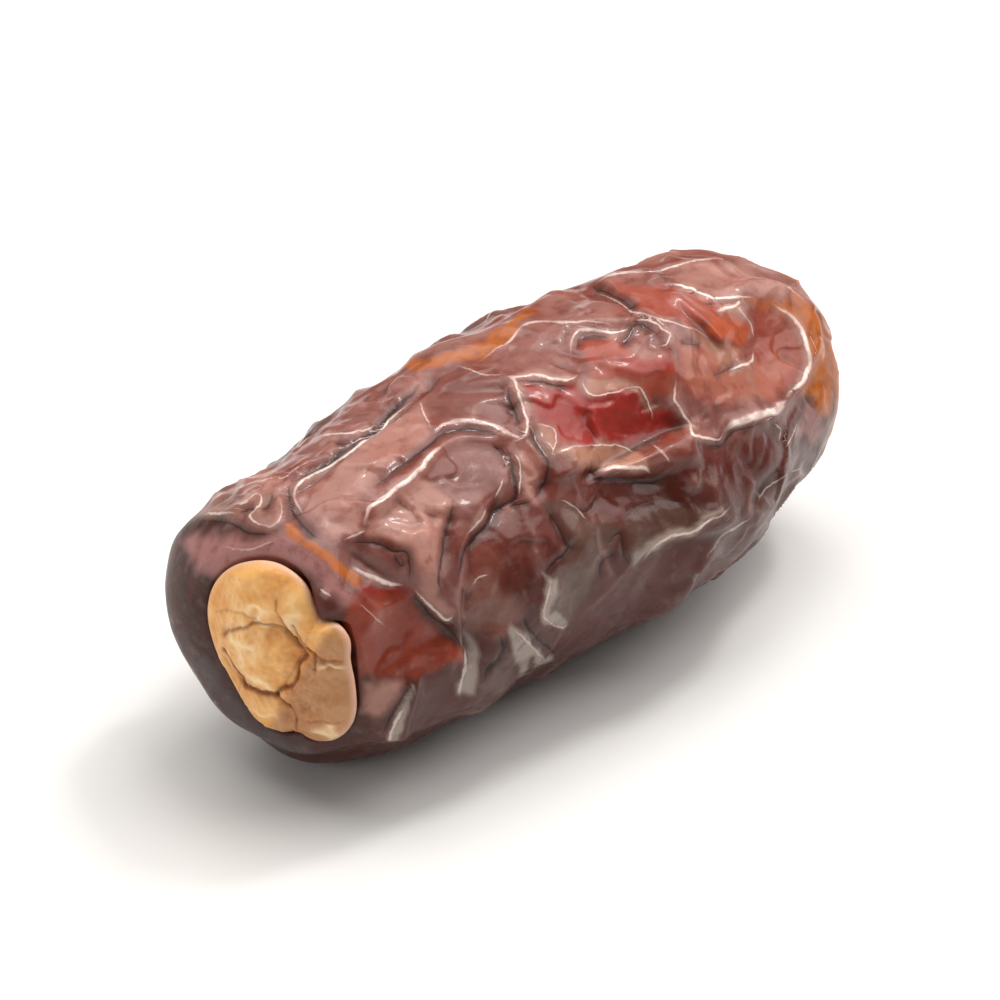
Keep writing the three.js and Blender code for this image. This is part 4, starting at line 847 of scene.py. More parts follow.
def calyxEdge(angle):
    # Edge radius: a cubic through the rim's radii, with the slope at each from its two neighbours
    turns, radii = np.array(rim, float).T
    turns = np.concatenate([turns - 360, turns, turns + 360])
    radii = np.tile(radii, 3)
    slopes = np.gradient(radii, turns)
    degrees = np.degrees(angle) % 360
    k = np.searchsorted(turns, degrees, side="right") - 1
    step = turns[k + 1] - turns[k]
    t = (degrees - turns[k]) / step
    rise = radii[k + 1] - radii[k]
    bend = (3 * rise - step * (2 * slopes[k] + slopes[k + 1])) * t ** 2
    bend += (step * (slopes[k] + slopes[k + 1]) - 2 * rise) * t ** 3
    return radii[k] + step * slopes[k] * t + bend


def fruitGrid():
    # Rings at even steps along the outline, and angles closer together in front: a = t - k sin(t - front)
    rows, columns = fruit["rows"], fruit["columns"]
    walk = outlineWalk[-1] * np.arange(1, rows) / rows
    t = 2 * np.pi * np.arange(columns) / columns
    front = np.radians(fruit["frontAngle"])
    angle = t - fruit["denserInFront"] * (np.sin(t - front) + np.sin(front))
    x = np.interp(walk, outlineWalk, outlineX)
    r = np.interp(walk, outlineWalk, outlineR)
    gridX, gridAngle = np.meshgrid(x, angle, indexing="ij")
    gridR = np.repeat(r[:, None], columns, 1)
    ends = onBody([-half, half], [0, 0])
    return np.vstack([bodyPoint(gridX, gridR, gridAngle).reshape(-1, 3), ends])


def shapeFruit():
    # The smooth body, moved outwards by its relief and folds, which are calm at the ends and where it rests,
    # and by the drawn lines; its stem end is then cut back to the dish and the seat
    p = fruitGrid()
    out = outward(p)
    relief, folded, crest = skin(p, out)
    pole = onBody(half, 0)
    pastCollar = smooth(fruit["collarEnd"], fruit["wrinklesStart"], p[:, 0])
    beforeTip = smooth(0, fruit["smoothTip"], np.linalg.norm(p - pole, axis=1))
    calm = fruit["collarCalm"] + (1 - fruit["collarCalm"]) * pastCollar * beforeTip
    resting = 1 - (1 - fruit["restCalm"]) * smooth(fruit["restFrom"], fruit["restTo"], -out[:, 2])
    v = p + out * ((relief * calm + folded) * resting)[:, None]
    seen = seenFrom(v, out)[0]
    facing = facingWell(v, out)
    light, lightRise = markLines(seen, facing, paintedGlintEdges)
    dark, darkRise = markLines(seen, facing, paintedShadeCreases)
    v += out * (fruit["edgeRise"] * lightRise - fruit["creaseDrop"] * darkRise)[:, None]
    # The stem end is dished like a funnel that meets the calyx at its edge, and holds its seat
    across, up = -v[:, 1] - fruit["calyxToFront"], v[:, 2] - fruit["calyxUp"]
    beyond = np.hypot(across, up) - calyxEdge(np.arctan2(across, up)) - fruit["seatGap"]
    edgeX = -half + fruit["calyxFromStem"] + np.tan(np.radians(fruit["calyxTurn"])) * across
    turned = (np.degrees(np.arctan2(across, up)) - lip["middle"] + 180) % 360 - 180
    onLip = np.exp(-((beyond - lip["beyond"]) / lip["width"]) ** 2)
    onLip *= smooth(lip["halfTurn"], 0.6 * lip["halfTurn"], np.abs(turned))
    funnel = edgeX - fruit["proud"] - fruit["dishSlope"] * np.clip(beyond, 0, None) - lip["height"] * onLip
    atStem = p[:, 0] < -half / 2
    v[:, 0] = np.where(atStem, smoothMax(v[:, 0], funnel, fruit["dishBlend"]), v[:, 0])
    floorX = edgeX + calyx["thickness"] / 2 + calyx["gap"]
    sunk = 1 - smooth(-0.6 * fruit["seatWall"], 0.4 * fruit["seatWall"], beyond)
    v[:, 0] += sunk * np.clip(floorX - v[:, 0], 0, None) * atStem
    marks = {"crest": crest * calm, "onLip": onLip * atStem}
    for kind, values in (("light", light), ("dark", dark)):
        marks.update({kind + key: value for key, value in values.items()})
    return p, out, v, marks


def gridFaces(rows, columns, firstPole, lastPole):
    # Quads between rings and triangles to the two poles, all facing outwards
    r, c = np.meshgrid(np.arange(rows - 1), np.arange(columns), indexing="ij")
    n = (c + 1) % columns
    quads = np.stack([r * columns + c, r * columns + n, (r + 1) * columns + n, (r + 1) * columns + c], -1)
    c = np.arange(columns)
    n = (c + 1) % columns
    last = (rows - 1) * columns
    first = np.stack([np.full(columns, firstPole), n, c], -1)
    end = np.stack([np.full(columns, lastPole), last + c, last + n], -1)
    return quads.reshape(-1, 4).tolist() + first.tolist() + end.tolist()


def makePiece(name, points, faces, attributes):
    # points are in millimetres of the row frame, and each attribute is one number for each point
    mesh = bpy.data.meshes.new(name)
    mesh.from_pydata((points * mm).tolist(), [], faces)
    for key, values in attributes.items():
        layer = mesh.attributes.new(key, "FLOAT", "POINT")
        layer.data.foreach_set("value", np.ascontiguousarray(values, np.float32))
    mesh.shade_smooth()
    piece = bpy.data.objects.new(name, mesh)
    bpy.context.scene.collection.objects.link(piece)
    return piece


def hollowness(points, passes, out):
    # mm that a point lies below the mean of its surroundings, which is the grid relaxed many times
    return ((relax(points, 0.8, passes) - points) * out).sum(-1)


# The calyx

calyx = {
    "thickness": 0.7, "roundedShare": 0.9, "gap": 0.3,
    "rows": 120, "edgeRows": 10, "columns": 240,
    "wrinkles": [[0.09, 1.8], [0.06, 0.9], [0.02, 0.4]],  # [mm high, mm long]
    "bulge": {"place": [-0.7, 0.1], "reach": [2.3, 2.1], "height": 0.32},
    "junction": {"dark": 0.5, "width": 0.05}, "deepest": 0.2, "shadowReach": 0.5,
    "lineBends": [0.07, 2.2], "shineBends": [0.25, 1.3],  # [mm, over mm]
    "greyLobe": {"from": 1.5, "to": 2.3, "lean": 0.5},
}

# The calyx's edge: degrees round it from the top to the front, and radius in mm
rim = [
    [0, 5.8], [16, 5.3], [29, 4.4], [39, 4.1], [47, 4.8], [58, 5.1], [77, 4.6], [96, 4.8], [125, 5.6],
    [150, 5.8], [160, 5.6], [167, 5.1], [178, 5.4], [193, 5.7], [212, 5.3], [232, 4.9], [255, 5.1],
    [282, 5.5], [305, 5.7], [332, 5.8],
]

# Domes of its face: mm to the front and up of its middle, the spread in both directions and the height
# above the edge
lobes = [
    {"name": "top lobe", "place": [-1.3, 4.0], "spread": [6, 4.2], "height": 0.85},
    {"name": "middle lobe", "place": [-1.3, 0.2], "spread": [3.9, 4.0], "height": 1.1},
    {"name": "large right lobe", "place": [3.4, -1.8], "spread": [4.6, 4.2], "height": 0.95},
    {"name": "small right lobe", "place": [4.0, 2.4], "spread": [2.6, 3.2], "height": 0.85},
    {"name": "bottom lobe", "place": [-0.5, -4.4], "spread": [3.6, 4.0], "height": 0.8},
    {"name": "left rim", "place": [-3.8, -2.4], "spread": [2.2, 3.5], "height": 0.5},
]

# Lines on its face, in the same mm: depth is negative for a raised fold
faceLines = [
    {"name": "arc over the middle lobe", "depth": 0.14, "width": 0.13,
     "path": [[-3.6, 0.3], [-2.3, 1.5], [-1.2, 2.2], [-0.1, 2.5], [0.6, 2.4], [1.3, 1.8], [2.1, 1.3]]},
    {"name": "right side of the middle lobe", "depth": 0.18, "width": 0.14,
     "path": [[1.3, 1.9], [1.95, 0.9], [1.6, -0.5], [0.85, -1.5], [0.1, -2.4]]},
    {"name": "short crease of the top lobe", "depth": 0.12, "width": 0.11,
     "path": [[0.2, 3.9], [0.5, 2.9], [0.9, 2.2]]},
    {"name": "second line of the junction", "depth": 0.12, "width": 0.11,
     "path": [[1.1, 2.7], [1.7, 1.9], [2.3, 1.4], [2.7, 0.4]]},
    {"name": "line under the small lobe", "depth": 0.12, "width": 0.12,
     "path": [[2.1, 1.3], [3.2, 1], [4.4, 1.1]]},
    {"name": "dark crease at the lower left", "depth": 0.2, "width": 0.17,
     "path": [[-3.7, -0.7], [-2.9, -1.8], [-2.3, -2.8], [-1.1, -2.5], [0.1, -2.4]]},
    {"name": "crease to the bottom notch", "depth": 0.16, "width": 0.13,
     "path": [[0.1, -2.4], [1.2, -3.2], [1.4, -5]]},
    {"name": "wrinkle of the middle lobe", "depth": -0.12, "width": 0.25,
     "path": [[-2.9, 0.3], [-2, 0.8], [-1.1, 0.7]]},
    {"name": "wrinkle of the large lobe", "depth": 0.1, "width": 0.15,
     "path": [[2.2, -3.4], [3.2, -2.9], [4.4, -2.8]]},
]

# Painted highlights on its face: mm to the front and up, and their reach along the lobe's slope
paintedShines = [
    {"place": [-1.9, 0.6], "reach": [1.3, 0.8]}, {"place": [-1.2, 2.9], "reach": [1.1, 0.3]},
    {"place": [1.3, 3.2], "reach": [0.4, 0.9]}, {"place": [-0.8, -1.6], "reach": [0.8, 0.45]},
    {"place": [-1, -4.1], "reach": [0.9, 0.4]}, {"place": [3.4, -4], "reach": [0.7, 0.35]},
    {"place": [3.7, 0.7], "reach": [0.8, 0.2]},
]


def lineDistance(points, path):  # the distance from each flat point to the nearest stretch of a path
    corners = np.array(path, float)
    nearest = np.full(len(points), 1e9)
    for a, b in zip(corners[:-1], corners[1:]):
        t = np.clip((points - a) @ (b - a) / ((b - a) @ (b - a)), 0, 1)
        nearest = np.minimum(nearest, np.linalg.norm(points - a - t[:, None] * (b - a), axis=1))
    return nearest


def calyxFace(across, up):
    # Height h (1 - (x / a)^2 - (y / b)^2) of the highest dome, brought down to the edge by 1 - (r /
    # edge)^5, and how far the next dome lies below it
    domes = []
    for lobe in lobes:
        dx = (across - lobe["place"][0]) / lobe["spread"][0]
        dy = (up - lobe["place"][1]) / lobe["spread"][1]
        domes.append(lobe["height"] * (1 - dx ** 2 - dy ** 2))
    domes = np.sort(np.stack(domes + [0 * across]), axis=0)
    inside = 1 - np.clip(np.hypot(across, up) / calyxEdge(np.arctan2(across, up)), 0, 1) ** 5
    return domes[-1] * inside, domes[-1] - domes[-2]


def shapeCalyx(plain=False):
    # Rings from the middle of the face to a rounded edge and back under to the middle, in the calyx's own
    # frame: across to the front, up, and out of the stem end
    rows, edgeRows, columns = calyx["rows"], calyx["edgeRows"], calyx["columns"]
    angle = 2 * np.pi * np.arange(columns) / columns
    inner = calyx["roundedShare"]
    turn = np.linspace(0, np.pi, edgeRows)
    rounded = inner + (1 - inner) * np.sin(turn)
    share = np.concatenate([inner * np.arange(1, rows) / rows, rounded, [inner / 2]])
    edge = calyxEdge(angle)
    across = (share[:, None] * (edge * np.sin(angle))[None]).ravel()
    up = (share[:, None] * (edge * np.cos(angle))[None]).ravel()
    face, gap = calyxFace(across, up)
    lift = np.concatenate([np.full(rows - 1, 0.5), 0.5 * np.cos(turn), [-0.5]])
    onFace = np.repeat(np.concatenate([np.ones(rows - 1), smooth(0, 1, np.cos(turn)), [0]]), columns)
    height = calyx["thickness"] * np.repeat(lift, columns)
    flat = np.stack([across, up, 0 * up], -1)
    # Painted shade: crease darkens where the domes meet and along the face's lines, shadow beside them
    junction = calyx["junction"]
    crease = junction["dark"] * np.exp(-gap / junction["width"]) * smooth(0.02, 0.2, face)
    shadow = np.zeros(len(flat))
    if not plain:
        wrinkle = np.zeros(len(flat))
        for k, (high, size) in enumerate(calyx["wrinkles"]):
            wrinkle += high * swell(flat, size, 60 + k)
        bulge = calyx["bulge"]
        off = (flat[:, :2] - bulge["place"]) / bulge["reach"]
        swollen = bulge["height"] * np.exp(-(off ** 2).sum(1) ** 1.6)
        face = face + wrinkle * smooth(0, 0.3, face) + swollen
        far, size = calyx["lineBends"]
        moved = flat[:, :2] + far * drift(flat, size, 63)[:, :2]
        for line in faceLines:
            away = lineDistance(moved, line["path"])
            near = np.exp(-(away / line["width"]) ** 2) * smooth(0, 0.3, face)
            deep = np.clip(line["depth"] / calyx["deepest"], 0, 1)
            face = face - line["depth"] * near
            crease = np.maximum(crease, near * deep)
            shadow = np.maximum(shadow, np.exp(-away / calyx["shadowReach"]) * deep)
    height = height + onFace * face
    points = np.stack([across, up, height], -1)
    top = calyx["thickness"] / 2 + calyxFace(np.zeros(1), np.zeros(1))[0][0]
    points = np.vstack([points, [[0, 0, top], [0, 0, -calyx["thickness"] / 2]]])
    share = np.concatenate([share.repeat(columns), [0, 0]])
    shine = np.zeros(len(flat))
    far, size = calyx["shineBends"]
    wander = far * drift(flat, size, 64)[:, :2]
    for spot in paintedShines:
        off = (flat[:, :2] - spot["place"] + wander) / spot["reach"]
        shine = np.maximum(shine, np.exp(-(off ** 2).sum(1)))
    looks = {"share": share}
    for key, values in (("crease", crease), ("shadow", shadow), ("shine", shine)):
        looks[key] = np.concatenate([values * onFace, [0, 0]])
    grey = calyx["greyLobe"]
    looks["greyLobe"] = smooth(grey["from"], grey["to"], points[:, 0] - grey["lean"] * points[:, 1])
    turn = np.radians(fruit["calyxTurn"])
    basis = np.array([[np.sin(turn), -np.cos(turn), 0], [0, 0, 1], [-np.cos(turn), -np.sin(turn), 0]])
    place = np.array([-half + fruit["calyxFromStem"], -fruit["calyxToFront"],
                      fruit["restHeight"] + fruit["calyxUp"]])
    return points @ basis + place, looks


# Puts both pieces where the CAD has them: the plain calyx's box is matched to the CAD calyx's box
plainPoints = shapeCalyx(plain=True)[0]
calyxLow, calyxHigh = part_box("calyx")
shift = (np.array(calyxLow) + np.array(calyxHigh)) / (2 * mm) - (plainPoints.min(0) + plainPoints.max(0)) / 2
shift[2] = 0
print("pieces are moved by", np.round(shift, 3), "mm to the CAD's place")

body, out, skinPoints, marks = shapeFruit()
rings = fruit["rows"] - 1
columns = fruit["columns"]


def asGrid(values):  # the rings as a grid's rows, without the poles
    return values[:-2].reshape(rings, columns, -1)


def asList(grid, values):  # a grid's rows in one list, with the two poles' values kept
    return np.concatenate([grid.reshape(rings * columns, -1), values[-2:].reshape(2, -1)])


# The grid is relaxed a little everywhere, and more behind, where it is too coarse to hold sharp steps
relaxing = {"everywhere": (0.25, 1), "behind": (0.6, 3), "narrowPasses": 4, "widePasses": 60}
inFront = frontness(out)
skinPoints = asList(relax(asGrid(skinPoints), *relaxing["everywhere"]), skinPoints)
calmer = asList(relax(asGrid(skinPoints), *relaxing["behind"]), skinPoints)
skinPoints += (1 - inFront)[:, None] * (calmer - skinPoints)
atPoles = np.zeros((2, 1))
narrowHollow = asList(hollowness(asGrid(skinPoints), relaxing["narrowPasses"], asGrid(out)), atPoles)[:, 0]
wideHollow = asList(hollowness(asGrid(skinPoints), relaxing["widePasses"], asGrid(out)), atPoles)[:, 0]
skinPoints[:, 2] = np.maximum(skinPoints[:, 2] + fruit["restHeight"], 0)
print("fruit skin shaped:", len(skinPoints), "points")


def patchMask(p, spots):
    # The strongest of the spots' bells exp(-(d / reach)^2), with their borders bent
    p = driftBy(p, patchBends, 70)
    mask = np.zeros(len(p))
    for spot in spots:
        off = (p - onBody(spot["x"], spot["angle"])) ** 2
        bell = np.exp(-off[:, 0] / spot["reach"][0] ** 2 - (off[:, 1] + off[:, 2]) / spot["reach"][1] ** 2)
        mask = np.maximum(mask, spot["strength"] * smooth(0.15, 0.75, bell))
    return mask


# Thin skin, where the flesh has drawn back and light comes through
patchBends = [[0.5, 4], [0.25, 1.7]]  # [mm, over mm]
redSpots = [
    {"x": 8, "angle": 200, "reach": [4, 4], "strength": 0.5},
    {"x": -4, "angle": 265, "reach": [4, 4], "strength": 0.7},
    {"x": 10, "angle": 300, "reach": [4, 4], "strength": 0.6},
    {"x": -13, "angle": 240, "reach": [3, 4], "strength": 0.5},
]
amberSpots = [
    {"x": 21, "angle": 84, "reach": [2.2, 5], "strength": 0.9},
    {"x": 22, "angle": 10, "reach": [1.6, 4], "strength": 0.4},
    {"x": 20, "angle": 270, "reach": [3, 5], "strength": 0.7},
    {"x": 3, "angle": 250, "reach": [2.4, 1.6], "strength": 0.6},
]
seen, facing = seenFrom(skinPoints - np.array([0, 0, fruit["restHeight"]]), out)
tints = markPatches(seen, facing, body)
tints["red"] = np.maximum(tints["red"], patchMask(body, redSpots))
tints["amber"] = np.maximum(tints["amber"], patchMask(body, amberSpots))
attributes = {
    "narrowHollow": narrowHollow, "wideHollow": wideHollow,
    "collar": 1 - smooth(fruit["collarEnd"] - 0.4, fruit["wrinklesStart"], body[:, 0]),
    # Low on the collar, where a grey sheen is painted
    "lowCollarSheen": smooth(-19.4, -20.8, body[:, 0]) * smooth(0.1, 0.8, -body[:, 2] / fruit["radius"]),
    # Where the skin turns away from the lamps above, for painted shade
    "flank": smooth(0.75, 0.45, out @ np.array([0, -0.25, 0.97])),
    "crackled": unevenly(body, "crackle") * (1 - 0.6 * inFront),
    # The net's lines lie behind, above the underside, and the pale bloom, with a painted sheen, is left on
    # raised places of the top
    "behind": (1 - smooth(-0.1, 0.12, out @ viewBack)) * unevenly(body, "linesBehind")
              * smooth(-0.85, -0.5, out[:, 2]),
    "bloomAndSheen": smooth(0.25, -0.15, wideHollow) * unevenly(body, "bloomAndSheen") * smooth(0.3, 0.75, out[:, 2]),
}
attributes.update(marks)
attributes.update(tints)
count = len(skinPoints)
fruitFaces = gridFaces(rings, columns, count - 2, count - 1)
fruitPiece = makePiece("dateFruit", skinPoints + shift, fruitFaces, attributes)
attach(fruitPiece, "root")
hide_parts("fruit")

huskPoints, huskLooks = shapeCalyx()
count = len(huskPoints)
huskRings = (count - 2) // calyx["columns"]
huskFaces = gridFaces(huskRings, calyx["columns"], count - 2, count - 1)
calyxPiece = makePiece("dateCalyx", huskPoints + shift, huskFaces, huskLooks)
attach(calyxPiece, "root")
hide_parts("calyx")
print("calyx shaped:", count, "points")


# Materials

def addNode(tree, kind, output, settings):
    # Settings are properties by name, or inputs by name or number. Sockets are linked, hex made linear.
    node = tree.nodes.new("ShaderNode" + kind)
    for key, value in settings.items():
        if isinstance(value, str) and value.startswith("#"):
            value = toLinear(value)
        if isinstance(value, bpy.types.NodeSocket):
            tree.links.new(node.inputs[key], value)
        elif isinstance(key, str) and key in node.bl_rna.properties:
            setattr(node, key, value)
        else:
            node.inputs[key].default_value = value
    return node.outputs[output]


def newMaterial(name):
    material = bpy.data.materials.new(name)
    material.use_nodes = True
    tree = material.node_tree
    return material, tree, tree.nodes["Principled BSDF"]


def scaleFor(sizeInMm):  # a texture's scale for features of that size, on coordinates in metres
    return 1 / (sizeInMm * mm)


# Date skin: a dried, waxy, translucent cuticle over dark flesh, shrunk into folds as it lost water
skinLook = {
    "flesh": "#662a1c", "plate": "#82463a", "pale": "#a8857c", "blood": "#5c1c12",
    "roughness": 0.37, "coat": 0.25, "coatRoughness": 0.08, "ior": 1.32, "subsurface": 0.25,
    "noisesMm": {"mottle": 3.0, "speckle": 1.1, "patchy": 1.6, "waver": 0.8, "wrinkle": 0.9, "grain": 0.35},
    # The light edge colour is a painted highlight, and the dark crease colour is painted shade
    "glintPaint": "#f4e4dc", "creaseShadePaint": "#1e0603", "lineCover": 0.85,
    "lineShares": {"light": (0.3, 0.7), "dark": (0.35, 0.85)},
    "speckles": [(0.54, 0.74, 0.16, "pale"), (0.48, 0.32, 0.45, "blood")],
    # The net behind draws painted highlight lines on the cells' borders and painted shade lines beside them
    "netBehind": {"cellMm": 4.6, "swayMm": 3.2, "swayOverMm": 3.5,
                  "lines": [("light", 0.006, 0.018, 0.85), ("dark", 0.03, 0.05, 0.6)]},
    "crackleMm": 1.25,
}

# Tints laid over it in this order: attribute, its values for none and all of the tint, the most of it, tint
skinTints = [
    # A pale waxy bloom with a painted sheen, on raised places of the top
    ("bloomAndSheen", 0, 1, 0.45, "#9a746c"),
    # Painted shade on the flanks that turn away from the lamps above
    ("flank", 0, 1, 0.8, "#381006"),
    # Painted shade on the stem end's smooth collar
    ("collar", 0, 1, 0.85, "#341206"),
    # A painted grey sheen low on the collar
    ("lowCollarSheen", 0, 1, 0.25, "#5c5256"),
    # A painted mauve sheen on the rolled lip round the calyx
    ("onLip", 0, 1, 0.6, "#7c5450"),
    # Painted sheen on the plates: mauve, plum dimmer, rose brighter
    ("mauve", 0, 1, 0.8, "#85564f"),
    ("plum", 0, 1, 0.85, "#6c3f38"),
    ("rose", 0, 1, 0.85, "#ae7c6e"),
    # Painted highlight on the up-facing ledge and floors
    ("sand", 0, 1, 0.85, "#aa7a62"),
    ("rust", 0, 1, 0.85, "#9a3c26"),
    ("orange", 0, 1, 0.9, "#a84820"),
    ("red", 0, 1, 0.92, "#8c180c"),
    ("brick", 0, 1, 0.9, "#86301a"),
    ("shade", 0, 1, 0.85, "#4e150a"),
    # A painted grey sheen on the low flank
    ("grey", 0, 1, 0.85, "#5a4238"),
    # Painted highlights on the brightest streaks
    ("silver", 0, 1, 0.9, "#a4988e"),
    # A painted sheen on the collar's lip and the tip's end
    ("lilac", 0, 1, 0.9, "#a87470"),
    # A painted grey sheen below the calyx
    ("steel", 0, 1, 0.8, "#4c4444"),
    ("amber", 0, 1, 0.95, "#a6560e"),
    # Painted shade in the narrow and wide hollows
    ("narrowHollow", 0.02, 0.12, 0.6, "#2a0c05"),
    ("wideHollow", 0.1, 0.6, 0.35, "#2a0c05"),
    # Painted highlight on the net's borders
    ("crest", 0.1, 0.9, 0.5, "#c09a8e"),
    # Painted shade round the dark creases, and a painted highlight round the light edges
    ("darkStrength", 0.15, 1, 0.75, "#3a0f08"),
    ("lightStrength", 0.4, 1, 0.35, "#c49c90"),
]


def lineOfKind(tree, marked, waver, kind):
    # 1 where the signed distance to the line is under the first share of its width, and 0 beyond the second
    near = addNode(tree, "Math", 0, {"operation": "MAXIMUM", 0: marked[kind + "Near"], 1: 0.01})
    part = {}
    for key in ("Signed", "Width", "Strength"):
        part[key] = addNode(tree, "Math", 0, {"operation": "DIVIDE", 0: marked[kind + key], 1: near})
    moved = addNode(tree, "Math", 0, {"operation": "ADD", 0: part["Signed"], 1: waver})
    away = addNode(tree, "Math", 0, {"operation": "ABSOLUTE", 0: moved})
    edges = []
    for share in skinLook["lineShares"][kind]:
        edges.append(addNode(tree, "Math", 0, {"operation": "MULTIPLY", 0: part["Width"], 1: share}))
    drawn = addNode(tree, "MapRange", "Result", {"Value": away, "From Min": edges[1], "From Max": edges[0]})
    sure = addNode(tree, "MapRange", "Result", {"Value": near, "From Min": 0.3, "From Max": 0.5})
    drawn = addNode(tree, "Math", 0, {"operation": "MULTIPLY", 0: drawn, 1: sure})
    return addNode(tree, "Math", 0, {"operation": "MULTIPLY", 0: drawn, 1: part["Strength"]})


def skinLines(tree, here, noise, marked):
    # The drawn lines: painted highlights on the light edges, broken by a noise, and painted shade in the dark
    # creases. The side away from the viewer gets a net of such lines: painted highlights on the borders
    # between cells, and a painted shade line beside them.
    waver = addNode(tree, "MapRange", "Result", {"Value": noise["waver"], "From Min": 0.3, "From Max": 0.7,
                                                 "To Min": -0.06, "To Max": 0.06})
    line = {kind: lineOfKind(tree, marked, waver, kind) for kind in ("light", "dark")}
    broken = addNode(tree, "MapRange", "Result", {"Value": noise["patchy"], "From Min": 0.36,
                                                  "From Max": 0.56, "To Min": 0.35, "To Max": 1.0})
    line["light"] = addNode(tree, "Math", 0, {"operation": "MULTIPLY", 0: line["light"], 1: broken})

    behind = skinLook["netBehind"]
    sway = addNode(tree, "TexNoise", "Color", {"Vector": here, "Scale": scaleFor(behind["swayOverMm"]),
                                               "Detail": 2.0})
    swayed = addNode(tree, "VectorMath", 0, {"operation": "MULTIPLY_ADD", 0: sway,
                                             1: (behind["swayMm"] * mm,) * 3, 2: here})
    border = addNode(tree, "TexVoronoi", "Distance", {"feature": "DISTANCE_TO_EDGE", "Vector": swayed,
                                                      "Scale": scaleFor(behind["cellMm"])})
    shown = addNode(tree, "MapRange", "Result", {"Value": noise["mottle"], "From Min": 0.42, "From Max": 0.6})
    shown = addNode(tree, "Math", 0, {"operation": "MULTIPLY", 0: shown, 1: marked["behind"]})
    for kind, inner, outer, most in behind["lines"]:
        drawn = addNode(tree, "MapRange", "Result", {"Value": border, "From Min": outer, "From Max": inner,
                                                     "To Min": 0.0, "To Max": most})
        drawn = addNode(tree, "Math", 0, {"operation": "MULTIPLY", 0: drawn, 1: shown})
        line[kind] = addNode(tree, "Math", 0, {"operation": "MAXIMUM", 0: drawn, 1: line[kind]})
    return line


def skinColour(tree, noise, marked, line):
    # Flesh and plate mottled, then the tints by their attributes, several of them painted sheen, highlights
    # and shade, speckles, and the painted highlight and shade lines on top
    mottled = addNode(tree, "MapRange", "Result", {"Value": noise["mottle"], "From Min": 0.35,
                                                   "From Max": 0.65})
    colour = addNode(tree, "Mix", 2, {"data_type": "RGBA", 0: mottled, 6: skinLook["flesh"],
                                      7: skinLook["plate"]})
    layers = [(marked[key], low, high, most, tint) for key, low, high, most, tint in skinTints]
    for low, high, most, tint in skinLook["speckles"]:
        layers.append((noise["speckle"], low, high, most, skinLook[tint]))
    for value, low, high, most, tint in layers:
        amount = addNode(tree, "MapRange", "Result", {"Value": value, "From Min": low, "From Max": high,
                                                      "To Min": 0.0, "To Max": most})
        colour = addNode(tree, "Mix", 2, {"data_type": "RGBA", 0: amount, 6: colour, 7: tint})
    for kind, tint in (("dark", "creaseShadePaint"), ("light", "glintPaint")):
        amount = addNode(tree, "Math", 0, {"operation": "MULTIPLY", 0: line[kind], 1: skinLook["lineCover"]})
        colour = addNode(tree, "Mix", 2, {"data_type": "RGBA", 0: amount, 6: colour, 7: skinLook[tint]})
    return colour


def skinPolish(tree, noise, marked, line):
    # Roughness: uneven, duller on the collar and in dark creases, smoother on light edges
    polish = addNode(tree, "MapRange", "Result", {
        "Value": noise["wrinkle"], "From Min": 0.3, "From Max": 0.7,
        "To Min": skinLook["roughness"] - 0.1, "To Max": skinLook["roughness"] + 0.12})
    for key, most in ((marked["collar"], 0.22), (line["dark"], 0.3), (line["light"], -0.2)):
        polish = addNode(tree, "Math", 0, {"operation": "MULTIPLY_ADD", "use_clamp": True, 0: key, 1: most,
                                           2: polish})
    return polish


def skinRelief(tree, here, noise, marked, line):
    # Relief: fine crackle, grain, wrinkles, and the lines' raised and sunk edges
    warp = addNode(tree, "TexNoise", "Color", {"Vector": here, "Scale": scaleFor(1.3), "Detail": 2.0})
    bent = addNode(tree, "VectorMath", 0, {"operation": "MULTIPLY_ADD", 0: warp, 1: (0.9 * mm,) * 3, 2: here})
    cells = addNode(tree, "TexVoronoi", "Distance", {"feature": "DISTANCE_TO_EDGE", "Vector": bent,
                                                     "Scale": scaleFor(skinLook["crackleMm"])})
    crackle = addNode(tree, "MapRange", "Result", {"Value": cells, "From Min": 0.0, "From Max": 0.12})
    crackle = addNode(tree, "Math", 0, {"operation": "MULTIPLY", 0: crackle, 1: marked["crackled"]})
    lineRise = addNode(tree, "Math", 0, {"operation": "SUBTRACT", 0: line["light"], 1: line["dark"]})
    bump = addNode(tree, "Bump", "Normal", {"Strength": 0.25, "Distance": 0.06 * mm, "Height": crackle})
    layers = ((noise["grain"], 0.2, 0.03), (noise["wrinkle"], 0.35, 0.14), (lineRise, 0.5, 0.08))
    for height, strength, deepMm in layers:
        bump = addNode(tree, "Bump", "Normal", {"Strength": strength, "Distance": deepMm * mm,
                                                "Height": height, "Normal": bump})
    return bump


def dateSkin():
    material, tree, shader = newMaterial("driedDateSkin")
    here = addNode(tree, "TexCoord", "Object", {})
    noise = {}
    for key, sizeInMm in skinLook["noisesMm"].items():
        noise[key] = addNode(tree, "TexNoise", "Fac", {"Vector": here, "Scale": scaleFor(sizeInMm),
                                                       "Detail": 4.0, "Roughness": 0.6})
    marked = {}
    for key in attributes:
        marked[key] = addNode(tree, "Attribute", "Fac", {"attribute_name": key})
    line = skinLines(tree, here, noise, marked)
    tree.links.new(shader.inputs["Base Color"], skinColour(tree, noise, marked, line))
    tree.links.new(shader.inputs["Roughness"], skinPolish(tree, noise, marked, line))
    tree.links.new(shader.inputs["Normal"], skinRelief(tree, here, noise, marked, line))
    shader.inputs["IOR"].default_value = skinLook["ior"]
    shader.inputs["Subsurface Weight"].default_value = skinLook["subsurface"]
    shader.inputs["Subsurface Radius"].default_value = (1.0, 0.25, 0.1)
    shader.inputs["Subsurface Scale"].default_value = 2.5 * mm
    shader.inputs["Coat Weight"].default_value = skinLook["coat"]
    shader.inputs["Coat Roughness"].default_value = skinLook["coatRoughness"]
    return material


